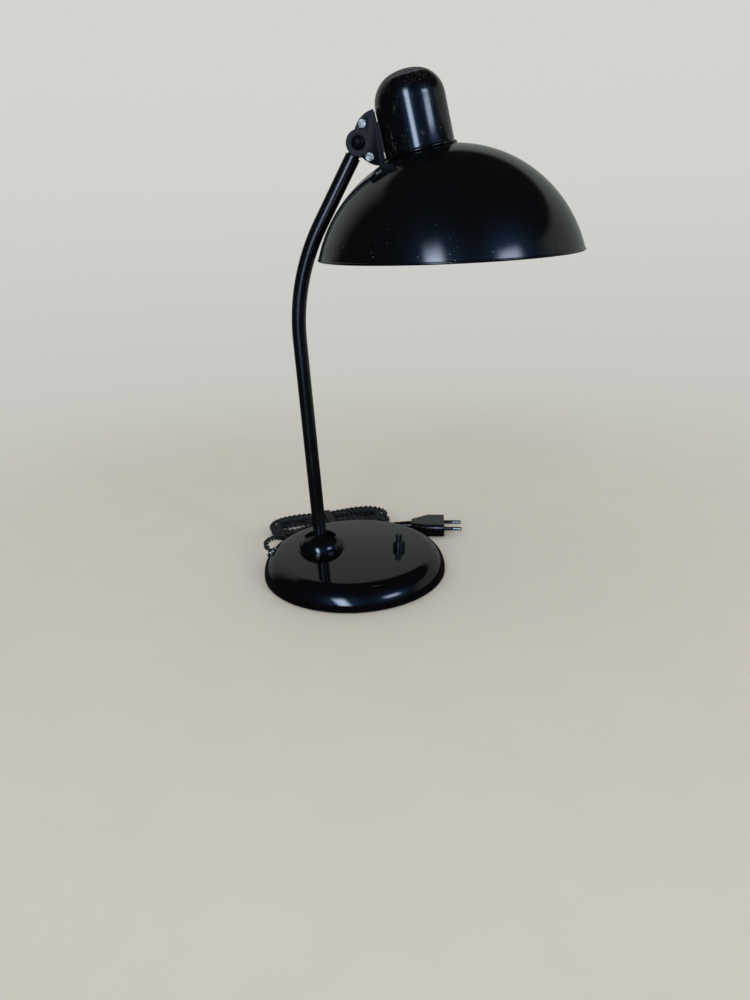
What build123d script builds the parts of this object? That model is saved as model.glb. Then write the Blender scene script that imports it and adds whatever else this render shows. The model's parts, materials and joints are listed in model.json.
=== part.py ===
"""Desk lamp with a domed steel base, a bent tube arm, a tilting dome shade and a free cord.

Frame: millimetres, +Z up, origin at the centre of the base on the surface it stands on.
+X points from the arm's joint to the switch, and the lamp is even about the XZ plane.
"""
import os
from math import asin, atan2, cos, degrees, hypot, pi, radians, sin, sqrt, tan

from build123d import *

os.makedirs("parts", exist_ok=True)

# ------------------------------------------------------------------ clearances
RUN_GAP = 0.05          # radial gap of a pin or shaft that turns in its hole
FACE_GAP = 0.1          # gap between flat faces that slide on each other
FREE_GAP = 0.3          # gap between curved faces of pieces that only pass by

# ------------------------------------------------------------------ base
BASE_RADIUS = 89.5
BASE_HEIGHT = 25.0      # top of the dome above the surface
BASE_SHOULDER = 19.0    # radius of the rounded edge
BASE_EDGE = 3.0         # height at which the rounded edge starts
BASE_WALL = 1.5
BASE_LIFT = 1.0         # the shell's foot hangs this far above the surface
PAD_THICKNESS = 1.5
PAD_INSET = 5.0
PLATE_THICKNESS = 1.5
WEIGHT_RADIUS = 76.0
WEIGHT_THICKNESS = 13.0
POCKET_GAP = 3.0        # room round the joint and the switch in the weight
CHANNEL_HALF = 12.0     # half the width of the cord's channel in the weight
WIRE_CHANNEL_HALF = 5.0
POST_COUNT = 4
POST_CIRCLE = 55.0      # radius of the circle of posts
POST_RADIUS = 5.5
BASE_SCREW_RADIUS = 2.5
BASE_SCREW_HEAD = 5.0
BASE_SCREW_SLOT = 1.2

# ------------------------------------------------------------------ joint of arm and base
JOINT_X = -32.5         # where the joint sits on the dome
JOINT_HOLE = 16.0       # radius of the hole in the shell
COVER_RADIUS = 22.0
COVER_HEIGHT = 16.0
COVER_SHOULDER = 12.0
COVER_WALL = 1.2
COVER_FLANGE_RADIUS = 23.3
COVER_FLANGE = 1.0
COVER_SLOT_GAP = 0.6    # gap beside the tube in the slot
COVER_SLOT_END = 1.5    # gap that the fully tilted tube leaves at the end of the slot
FORK_PLATE_RADIUS = 19.5
FORK_PLATE = 2.0
FORK_EAR = 2.8          # thickness of each ear
FORK_EAR_HALF = 6.0     # half the ear's width
FORK_EAR_DROP = 11.0
FORK_SLOT = 9.7         # half the length of the slot in the fork's plate
PIVOT_DROP = 5.0        # the tilt pin lies this far under the dome's surface
PIVOT_RADIUS = 2.5
PIVOT_HEAD_RADIUS = 4.2
PIVOT_HEAD = 2.0
PIVOT_NUT = 2.2
JOINT_CLAMP_RADIUS = 21.0
JOINT_CLAMP = 1.3
JOINT_WASHER = 0.3
JOINT_SCREW_AT = 12.6   # distance of the two joint screws from the joint's axis
JOINT_SCREW_RADIUS = 1.25
JOINT_SCREW_HEAD = 2.3
JOINT_SCREW_HEAD_HEIGHT = 1.2
JOINT_SCREW_SLOT = 0.7
JOINT_SCREW_TAIL = 0.4  # end of the screw below the clamp
JOINT_SPACER_WALL = 1.2
CLAMP_SIDE_GAP = 1.8    # room beside the fork's ears in the clamp's window
CLAMP_END_GAP = 2.2     # room beyond the pivot nut in the clamp's window
TILT_LIMIT = 20.0       # degrees each way that the arm tilts

# ------------------------------------------------------------------ arm
TUBE_RADIUS = 6.35      # half-inch tube
TUBE_WALL = 1.0
ARM_LOWER = 255.3       # joint on the dome to the corner of the bend
ARM_UPPER = 122.0       # corner of the bend to the head's hinge
ARM_BEND = 32.4         # degrees
ARM_BEND_RADIUS = 180.0
FOOT_EYE_RADIUS = 5.8
FOOT_EYE_HALF = 6.7     # half the eye's width
FOOT_NECK_RADIUS = 5.7
SPIGOT_DEPTH = 20.0
TUBE_FOOT_GAP = 7.5     # tilt pin to the lower end of the tube
ARM_FLEX_RADIUS = 2.6

# ------------------------------------------------------------------ head: cap, hinge and shade
CAP_LEAN = 12.5         # degrees between the cap's axis and the vertical
NECK_HEIGHT = 0.35      # the cap's lip above the shade's surface
CAP_RADIUS = 28.4
CAP_WALL = 1.0
CAP_BODY = 37.05        # height of the straight wall above the lip
CAP_DOME = 23.5
CAP_SHOULDER = 22.7
FLANGE_RADIUS = 30.5    # rolled flange at the cap's lip
FLANGE_THICKNESS = 1.6
SHADE_RADIUS = 115.45   # outer radius of the sphere that the shade is part of
SHADE_WALL = 1.0
SHADE_CUT = 30.75       # distance of the rim's plane from the sphere's centre
SHADE_RIM_LEAN = 1.0    # degrees between the rim's plane and the level
SHADE_BEAD = 1.0
COLLAR_DEPTH = 4.0      # the collar reaches this far up inside the cap
HINGE_REACH = 46.76     # hinge pin to the cap's axis
HINGE_RISE = 18.19      # hinge pin above the cap's lip
KNUCKLE_RADIUS = 9.4
KNUCKLE_HALF = 5.1      # half the knuckle's width
BOSS_RADIUS = 10.0
BOSS_PROUD = 1.2
BOSS_RECESS = 6.3
CHEEK_THICKNESS = 4.0
CHEEK_RADIUS = 20.5     # radius of the half-moon plates
SHADE_GAP = 0.5         # gap between the plates and the shade
CHEEK_GAP = 1.0         # straight edge of the plates to the cap's wall
WEB_THICKNESS = 2.5
WEB_HALF = 13.0
SADDLE_HALF_WIDTH = 7.0
SADDLE_HALF_HEIGHT = 11.0
SADDLE_DEPTH = 6.0
SADDLE_SCREW_AT = 8.0   # distance of each screw from the middle of the saddle
SADDLE_SCREW_RADIUS = 1.5
SADDLE_SCREW_HEAD = 1.5
HINGE_BOLT_RADIUS = 2.5
HINGE_HEAD_RADIUS = 5.8
HINGE_HEAD = 2.6
HINGE_WASHER_RADIUS = 6.5
HINGE_WASHER = 1.0
HINGE_NUT = 4.0
HINGE_NUT_ACROSS = 10.0
BRACKET_SCREW_IN = 11.0     # distance of the nickel screws from the plates' straight edge
BRACKET_SCREW_UP = 12.5     # distance above and below the hinge pin
BRACKET_SCREW_RADIUS = 1.75
BRACKET_SCREW_HEAD = 3.6
BRACKET_HEAD_HEIGHT = 1.8
BRACKET_HEAD_EDGE = 0.6
BRACKET_SCREW_TAIL = 2.2    # the screw's length beyond the rear plate
BRACKET_SCREW_TURN = 35.0   # degrees that the slots stand off the level, mirrored
BRACKET_NUT = 2.0
BRACKET_SLOT = 0.9
BRACKET_SPACER_RADIUS = 3.0
TUBE_TOP_GAP = 10.7     # hinge pin to the upper end of the tube

# ------------------------------------------------------------------ lampholder and bulb
HOLDER_RADIUS = 19.5
HOLDER_WALL = 3.3
HOLDER_SKIRT = 8.5      # the holder reaches this far below the cap's lip
HOLDER_HEIGHT = 42.0
HOLDER_FLOOR = 7.0      # closed top of the holder
HOLDER_EDGE = 4.0       # rounding of the holder's top
HOLDER_PLATE = 1.5
NIPPLE_RADIUS = 5.0
NIPPLE_WALL = 1.6
NIPPLE_LENGTH = 12.0
NIPPLE_NUT = 3.0
NIPPLE_NUT_RADIUS = 9.0
RING_RADIUS = 25.0
RING_HEIGHT = 5.0
RING_GROOVE = 0.7       # radius of the finger grooves round the ring
SCREW_SHELL_RADIUS = 14.0
SCREW_SHELL_WALL = 0.5
SCREW_SHELL_LENGTH = 22.0
INSERT_THICKNESS = 3.0
BULB_CAP_RADIUS = 13.1
BULB_CAP_LENGTH = 22.0
BULB_TIP = 3.0
BULB_RADIUS = 27.5
BULB_LENGTH = 97.0      # contact to crown
BULB_WALL = 0.8
HEAD_FLEX_RADIUS = 2.2
FLEX_ROOM = 0.6         # room round the flex in the holes it passes
CONTACT_SHEET = 0.6
CONTACT_HIGH = 1.2
CONTACT_RADIUS = 2.5
BULB_WAIST = 1.42       # waist above the ball's centre, in ball radii
BULB_LEAVE = 38.0       # degrees up the ball where the neck's curve begins

# ------------------------------------------------------------------ switch
SWITCH_X = 44.6
SWITCH_BARREL_RADIUS = 5.9
SWITCH_BARREL = 7.4     # height of the barrel above the dome
SWITCH_BUSH_RADIUS = 4.6
SWITCH_BUTTON_RADIUS = 3.0
SWITCH_BUTTON_PROUD = 7.4
SWITCH_FLANGE_RADIUS = 3.7  # foot of the button, which keeps it in
SWITCH_FLANGE = 1.5
SWITCH_TRAVEL = 3.0
SWITCH_BODY_RADIUS = 9.0
SWITCH_BODY_DEPTH = 14.0
SWITCH_COLLAR_STEP = 1.2
SWITCH_SPRING_RADIUS = 2.4
SWITCH_SPRING_WALL = 0.8

# ------------------------------------------------------------------ cord and plug
CORD_RADIUS = 2.85
GROMMET_TURN = 176.0    # degrees round the base from +X
GROMMET_RISE = 42.0     # degrees up the rounded edge
GROMMET_BARREL = 4.4
GROMMET_BORE = 3.1
GROMMET_FLANGE_RADIUS = 6.0
GROMMET_FLANGE = 1.4
GROMMET_DEPTH = 5.0
GROMMET_NUT_RADIUS = 6.6
GROMMET_NUT = 2.0
TERMINAL_LENGTH = 10.0
TERMINAL_WIDTH = 16.0
TERMINAL_HIGH = 8.0
CLIP_WIDTH = 5.0
CLIP_HALF = 10.0
CLIP_THICKNESS = 1.5
SMALL_SCREW_RADIUS = 1.25
SMALL_SCREW_HEAD = 2.2
SWITCH_WIRE_RADIUS = 2.0
CORD_EXIT = 4.5         # straight start of the cord
# Route of the cord from the end of its straight start to its put-away hank.
CORD_ROUTE = (
    (-92.9, 9.8, 21.7), (-95.2, 15.8, 21.5), (-93.9, 23.8, 19.9), (-90.6, 33.0, 16.8),
    (-86.8, 42.0, 12.9), (-82.0, 50.5, 8.6), (-76.2, 57.6, 4.9),
)
HANK_AZIMUTH = 110.0    # degrees round the base from +X, middle of the hank
HANK_CENTRE = 117.8     # radius of its middle line about the base's centre
HANK_HALF_RUN = 45.0
HANK_LEVELS = 4         # loops laid inwards on the surface, then outwards on top of them
HANK_FOLD = 11.6        # half the width of the smallest fold
HANK_STEP = 6.5         # spacing of the turns at the ends
HANK_WAIST_STEP = 7.6   # spacing of the turns under the tie
HANK_WAIST_SHIFT = -1.0
HANK_LAYER = 6.2
HANK_RUN_IN = 9.0       # straight run of the cord before and after the hank
HANK_LIFT = 0.6         # the tie holds the hank this far above the surface
TIE_WIDTH = 8.0
TIE_THICKNESS = 0.5
PLUG_LENGTH = 36.0
PLUG_WIDTH = 35.3
PLUG_THICKNESS = 13.7
PIN_LENGTH = 19.0
PIN_RADIUS = 2.0
PIN_SPACING = 18.6
RELIEF_LENGTH = 20.0
PLUG_START = (34.0, 94.0, 6.9)     # where the cord meets the plug's sleeve
PLUG_NECK_WIDTH = 17.0
PLUG_NECK_THICKNESS = 11.0
PLUG_EDGE = 4.0         # rounding of the plug's long edges
RELIEF_RADIUS = 5.0
RELIEF_END = 3.6
PIN_SLEEVE = 10.0


# ================================================================== helpers
def save(shape, name):
    """Write one node."""
    shape.label = name
    export_step(shape, f"parts/{name}.step")


def crown_of(radius, shoulder, edge, height):
    """Radius of the top arc of a dome whose rounded edge meets it smoothly."""
    reach = radius - shoulder
    lift = height - edge
    return (reach**2 + lift**2 - shoulder**2) / (2 * (lift - shoulder))


def dome(radius, shoulder, edge, height, foot):
    """Solid dome about Z: straight wall from foot to edge, rounded edge, shallow crown."""
    crown = crown_of(radius, shoulder, edge, height)
    reach = radius - shoulder
    centre_z = height - crown
    scale = crown / hypot(reach, edge - centre_z)
    join = (reach * scale, centre_z + (edge - centre_z) * scale)
    half_turn = atan2(join[1] - edge, join[0] - reach) / 2
    half_lean = atan2(join[0], join[1] - centre_z) / 2
    outline = [
        Line((0, foot), (radius, foot)),
        Line((radius, foot), (radius, edge)),
        ThreePointArc(
            (radius, edge),
            (reach + shoulder * cos(half_turn), edge + shoulder * sin(half_turn)),
            join,
        ),
        ThreePointArc(
            join,
            (crown * sin(half_lean), centre_z + crown * cos(half_lean)),
            (0, height),
        ),
        Line((0, height), (0, foot)),
    ]
    return revolve(Plane.XZ * make_face(outline), Axis.Z)


def disc(radius, low, high, bore=0.0):
    """Round plate or tube about Z between two heights."""
    body = Pos(0, 0, (low + high) / 2) * Cylinder(radius, high - low)
    if bore:
        body -= Pos(0, 0, (low + high) / 2) * Cylinder(bore, high - low + 2)
    return body


def disc_y(radius, low, high, bore=0.0):
    """Round plate or pin about Y between two places along it."""
    return Rot(-90, 0, 0) * disc(radius, low, high, bore)


def block(x, y, z):
    """Box between two places on each axis."""
    size = [b - a for a, b in (x, y, z)]
    middle = [(a + b) / 2 for a, b in (x, y, z)]
    return Pos(*middle) * Box(*size)


def hexagon(across, low, high, bore):
    """Hexagon nut about Z."""
    face = RegularPolygon(across / 2, 6, major_radius=False)
    body = extrude(Pos(0, 0, low) * face, high - low)
    return body - disc(bore, low - 1, high + 1)


def slot_cut(radius, low, high, width, depth):
    """Screwdriver slot across the top of a head about Z."""
    return block((-radius - 1, radius + 1), (-width / 2, width / 2), (high - depth, high + 1))


def arc_or_line(start, start_dir, end):
    """Arc from start along start_dir to end, or a line where it doesn't turn."""
    if start_dir.get_angle(end - start) < 0.01:
        return Line(start, end)
    return TangentArc(start, end, tangent=start_dir)


def biarc(start, start_dir, end, end_dir):
    """Two arcs that leave start along start_dir and reach end along end_dir."""
    chord = end - start
    total = start_dir + end_dir
    turn = 2 * (1 - start_dir.dot(end_dir))
    along = chord.dot(total)
    if turn < 1e-9:
        reach = chord.dot(chord) / (4 * chord.dot(start_dir))
    else:
        reach = (sqrt(along**2 + turn * chord.dot(chord)) - along) / turn
    leave = start + start_dir * reach
    arrive = end - end_dir * reach
    middle = (leave + arrive) * 0.5
    middle_dir = (arrive - leave).normalized()
    return [arc_or_line(start, start_dir, middle), arc_or_line(middle, middle_dir, end)]


def tube_along(path, radius):
    """Round solid along a path."""
    start = Plane(origin=path @ 0, z_dir=path % 0)
    return sweep(start * Circle(radius), path=path)


# ================================================================== places
def surface_z(x):
    """Height of the dome's outer surface at a distance from the base's centre."""
    crown = crown_of(BASE_RADIUS, BASE_SHOULDER, BASE_EDGE, BASE_HEIGHT)
    return BASE_HEIGHT - crown + sqrt(crown**2 - x**2)


base_crown = crown_of(BASE_RADIUS, BASE_SHOULDER, BASE_EDGE, BASE_HEIGHT)
joint_lean = degrees(asin(JOINT_X / base_crown))
joint_at = Vector(JOINT_X, 0, surface_z(JOINT_X))
joint_place = Location(joint_at, (0, joint_lean, 0))

arm_up = Vector(sin(radians(joint_lean)), 0, cos(radians(joint_lean)))
head_dir = Vector(sin(radians(joint_lean + ARM_BEND)), 0, cos(radians(joint_lean + ARM_BEND)))
pivot_at = joint_at - arm_up * PIVOT_DROP
corner_at = joint_at + arm_up * ARM_LOWER
hinge_at = corner_at + head_dir * ARM_UPPER


# The head's own frame: origin at the centre of the shade's sphere, Z along the cap's axis.
def neck_z(radius):
    """Height of the cap's underside, which follows the shade, at a distance from its axis."""
    return sqrt(SHADE_RADIUS**2 - radius**2) + NECK_HEIGHT


lip_z = neck_z(CAP_RADIUS - CAP_WALL)
hinge_z = lip_z + HINGE_RISE
lean = radians(CAP_LEAN)
head_at = hinge_at + Vector(
    HINGE_REACH * cos(lean) + hinge_z * sin(lean), 0, HINGE_REACH * sin(lean) - hinge_z * cos(lean)
)
head_place = Location(head_at, (0, -CAP_LEAN, 0))

grommet_r = BASE_RADIUS - BASE_SHOULDER + BASE_SHOULDER * cos(radians(GROMMET_RISE))
grommet_z = BASE_EDGE + BASE_SHOULDER * sin(radians(GROMMET_RISE))
grommet_out = Vector(
    cos(radians(GROMMET_RISE)) * cos(radians(GROMMET_TURN)),
    cos(radians(GROMMET_RISE)) * sin(radians(GROMMET_TURN)),
    sin(radians(GROMMET_RISE)),
)
grommet_at = Vector(
    grommet_r * cos(radians(GROMMET_TURN)), grommet_r * sin(radians(GROMMET_TURN)), grommet_z
)
grommet_place = Plane(origin=grommet_at, z_dir=grommet_out).location

plate_low = PAD_THICKNESS
plate_high = plate_low + PLATE_THICKNESS
weight_high = plate_high + WEIGHT_THICKNESS

outer_dome = dome(BASE_RADIUS, BASE_SHOULDER, BASE_EDGE, BASE_HEIGHT, BASE_LIFT)
inner_dome = dome(
    BASE_RADIUS - BASE_WALL, BASE_SHOULDER - BASE_WALL, BASE_EDGE, BASE_HEIGHT - BASE_WALL, 0
)


# ================================================================== base
def base_pieces():
    """Pressed shell, iron weight, bottom plate, pad, posts and screws."""
    shell = outer_dome - inner_dome
    shell -= joint_place * disc(JOINT_HOLE, -10, 10)
    shell -= Pos(SWITCH_X, 0, BASE_HEIGHT) * Cylinder(SWITCH_BUSH_RADIUS + FACE_GAP, 20)
    shell -= grommet_place * Cylinder(GROMMET_BARREL + FACE_GAP, 12)
    save(shell, "base_shell")

    plate = disc(BASE_RADIUS - BASE_WALL - FREE_GAP, plate_low, plate_high)
    weight = disc(WEIGHT_RADIUS, plate_high, weight_high)
    over = weight_high + 1
    weight -= Pos(JOINT_X, 0, 0) * disc(JOINT_CLAMP_RADIUS + POCKET_GAP, plate_high, over)
    weight -= Pos(SWITCH_X, 0, 0) * disc(SWITCH_BODY_RADIUS + POCKET_GAP, plate_high, over)
    channel = (-CHANNEL_HALF, CHANNEL_HALF)
    weight -= block((-WEIGHT_RADIUS - 1, JOINT_X), channel, (plate_high, over))
    channel = (-WIRE_CHANNEL_HALF, WIRE_CHANNEL_HALF)
    weight -= block((JOINT_X, SWITCH_X), channel, (plate_high, over))
    posts = Part()
    screws = Part()
    cone = BASE_SCREW_HEAD - BASE_SCREW_RADIUS
    for index in range(POST_COUNT):
        turn = (index + 0.5) * 360 / POST_COUNT
        spot = Rot(0, 0, turn) * Pos(POST_CIRCLE, 0, 0)
        bore = spot * disc(BASE_SCREW_RADIUS + RUN_GAP, 0, weight_high + 5)
        sink = Pos(0, 0, plate_low + cone / 2) * Cone(
            BASE_SCREW_HEAD + RUN_GAP, BASE_SCREW_RADIUS + RUN_GAP, cone
        )
        plate -= bore + spot * sink
        weight -= bore + spot * sink
        posts += (spot * disc(POST_RADIUS, weight_high, BASE_HEIGHT) & inner_dome) - bore
        screw = disc(BASE_SCREW_RADIUS, plate_low + cone, weight_high + 4)
        screw += Pos(0, 0, plate_low + cone / 2) * Cone(BASE_SCREW_HEAD, BASE_SCREW_RADIUS, cone)
        screw -= block((-6, 6), (-0.5, 0.5), (plate_low - 1, plate_low + BASE_SCREW_SLOT))
        screws += spot * screw
    save(plate, "base_plate")
    save(weight, "base_weight")
    save(posts, "shell_posts")
    save(screws, "base_screws")
    save(disc(BASE_RADIUS - PAD_INSET, 0, PAD_THICKNESS), "base_pad")


# ================================================================== joint on the base
def joint_pieces():
    """Slotted cover, fork, pin and clamp of the joint that turns and tilts the arm."""
    ear_low = FOOT_EYE_HALF + FACE_GAP
    ear_high = ear_low + FORK_EAR
    flange_low = FACE_GAP
    cover = dome(COVER_RADIUS, COVER_SHOULDER, flange_low + COVER_FLANGE, COVER_HEIGHT, flange_low)
    cover += disc(COVER_FLANGE_RADIUS, flange_low, flange_low + COVER_FLANGE)
    cover -= dome(
        COVER_RADIUS - COVER_WALL,
        COVER_SHOULDER - COVER_WALL,
        flange_low + COVER_FLANGE,
        COVER_HEIGHT - COVER_WALL,
        -1,
    )
    slot_half = TUBE_RADIUS + COVER_SLOT_GAP
    tilt = radians(TILT_LIMIT)
    slot_end = (COVER_HEIGHT + PIVOT_DROP) * tan(tilt) + TUBE_RADIUS / cos(tilt) + COVER_SLOT_END
    round_at = slot_end - slot_half
    slot_low = flange_low + COVER_FLANGE
    over = COVER_HEIGHT + 1
    slot = block((-round_at, round_at), (-slot_half, slot_half), (slot_low, over))
    for side in (-1, 1):
        slot += Pos(side * round_at, 0, 0) * disc(slot_half, slot_low, over)
    save(joint_place * (cover - slot), "joint_cover")

    plate_high = FORK_PLATE
    fork = disc(FORK_PLATE_RADIUS, 0, plate_high)
    fork -= block((-FORK_SLOT, FORK_SLOT), (-ear_low, ear_low), (-1, plate_high + 1))
    pin_hole = Pos(0, 0, -PIVOT_DROP) * disc_y(PIVOT_RADIUS + RUN_GAP, -20, 20)
    for side in (-1, 1):
        reach = sorted((side * ear_low, side * ear_high))
        fork += block((-FORK_EAR_HALF, FORK_EAR_HALF), reach, (-FORK_EAR_DROP, 0.5))
    fork -= pin_hole
    screws = Part()
    sag = base_crown - sqrt(base_crown**2 - JOINT_CLAMP_RADIUS**2)
    clamp_high = -BASE_WALL - sag - JOINT_WASHER - 2 * RUN_GAP
    clamp_low = clamp_high - JOINT_CLAMP
    clamp = disc(JOINT_CLAMP_RADIUS, clamp_low, clamp_high)
    half = FORK_EAR_HALF + CLAMP_SIDE_GAP
    end = ear_high + PIVOT_NUT + CLAMP_END_GAP
    clamp -= block((-half, half), (-end, end), (-9, 0))
    head_high = plate_high + JOINT_SCREW_HEAD_HEIGHT
    for side in (-1, 1):
        spot = Pos(side * JOINT_SCREW_AT, 0, 0)
        fork -= spot * disc(JOINT_SCREW_RADIUS + RUN_GAP, -9, 9)
        clamp -= spot * disc(JOINT_SCREW_RADIUS + RUN_GAP, -9, 9)
        screw = disc(JOINT_SCREW_RADIUS, clamp_low - JOINT_SCREW_TAIL, plate_high)
        screw += disc(JOINT_SCREW_HEAD, plate_high, head_high)
        screw -= slot_cut(JOINT_SCREW_HEAD, plate_high, head_high, JOINT_SCREW_SLOT, JOINT_SCREW_SLOT)
        spacer = disc(
            JOINT_SCREW_RADIUS + JOINT_SPACER_WALL, clamp_high, 0, JOINT_SCREW_RADIUS + RUN_GAP
        )
        screws += spot * screw
        fork += spot * spacer
    save(joint_place * fork, "joint_fork")
    save(joint_place * clamp, "joint_clamp")
    save(joint_place * screws, "joint_screws")
    washer = disc(
        JOINT_CLAMP_RADIUS - 1, clamp_high + RUN_GAP, clamp_high + RUN_GAP + JOINT_WASHER,
        JOINT_HOLE + FREE_GAP,
    )
    save(joint_place * washer, "joint_washer")

    drop = Pos(0, 0, -PIVOT_DROP)
    bolt = disc_y(PIVOT_RADIUS, -ear_high, ear_high + PIVOT_NUT + 0.8)
    bolt += disc_y(PIVOT_HEAD_RADIUS, -ear_high - PIVOT_HEAD, -ear_high)
    save(joint_place * (drop * bolt), "pivot_bolt")
    nut = hexagon(2 * PIVOT_HEAD_RADIUS - 1, ear_high, ear_high + PIVOT_NUT, PIVOT_RADIUS + RUN_GAP)
    save(joint_place * (drop * (Rot(-90, 0, 0) * nut)), "pivot_nut")


# ================================================================== arm
def arm_pieces():
    """Bent tube, foot, knuckle and the flex inside."""
    tube_start = pivot_at + arm_up * TUBE_FOOT_GAP
    tube_end = hinge_at - head_dir * TUBE_TOP_GAP
    tangent = ARM_BEND_RADIUS * tan(radians(ARM_BEND / 2))
    bend_start = corner_at - arm_up * tangent
    bend_end = corner_at + head_dir * tangent
    path = Wire(
        [
            Line(tube_start, bend_start),
            TangentArc(bend_start, bend_end, tangent=arm_up),
            Line(bend_end, tube_end),
        ]
    )
    outer = tube_along(path, TUBE_RADIUS)
    save(outer - tube_along(path, TUBE_RADIUS - TUBE_WALL), "arm_tube")

    foot_place = Location(pivot_at, (0, joint_lean, 0))
    flex_bore = ARM_FLEX_RADIUS + FREE_GAP
    spigot = TUBE_RADIUS - TUBE_WALL - RUN_GAP
    foot = disc_y(FOOT_EYE_RADIUS, -FOOT_EYE_HALF, FOOT_EYE_HALF)
    foot += disc(FOOT_NECK_RADIUS, 0, TUBE_FOOT_GAP)
    foot += disc(spigot, TUBE_FOOT_GAP, TUBE_FOOT_GAP + SPIGOT_DEPTH)
    foot -= disc_y(PIVOT_RADIUS + RUN_GAP, -FOOT_EYE_HALF - 1, FOOT_EYE_HALF + 1)
    foot -= disc(flex_bore, FOOT_EYE_RADIUS, TUBE_FOOT_GAP + SPIGOT_DEPTH + 1)
    save(foot_place * foot, "arm_foot")

    knuckle_place = Location(hinge_at, (0, joint_lean + ARM_BEND, 0))
    knuckle = disc_y(KNUCKLE_RADIUS, -KNUCKLE_HALF, KNUCKLE_HALF)
    knuckle += disc(KNUCKLE_HALF - FACE_GAP, -TUBE_TOP_GAP, 0)
    knuckle += disc(spigot, -TUBE_TOP_GAP - SPIGOT_DEPTH, -TUBE_TOP_GAP)
    knuckle -= disc_y(HINGE_BOLT_RADIUS + RUN_GAP, -KNUCKLE_HALF - 1, KNUCKLE_HALF + 1)
    knuckle -= disc(flex_bore, -TUBE_TOP_GAP - SPIGOT_DEPTH - 1, -TUBE_TOP_GAP)
    save(knuckle_place * knuckle, "arm_knuckle")

    save(tube_along(path, ARM_FLEX_RADIUS), "arm_flex")


# ================================================================== hinge of the head
def cheek_outline():
    """Half-moon plate with a round boss, in the hinge's own plane: X from the hinge pin."""
    edge_x = HINGE_REACH - CAP_RADIUS - CHEEK_GAP
    half_moon = Pos(edge_x, 0) * Circle(CHEEK_RADIUS)
    half_moon &= Pos(edge_x - CHEEK_RADIUS, 0) * Rectangle(2 * CHEEK_RADIUS, 2 * CHEEK_RADIUS)
    return half_moon + Circle(BOSS_RADIUS)


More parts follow.
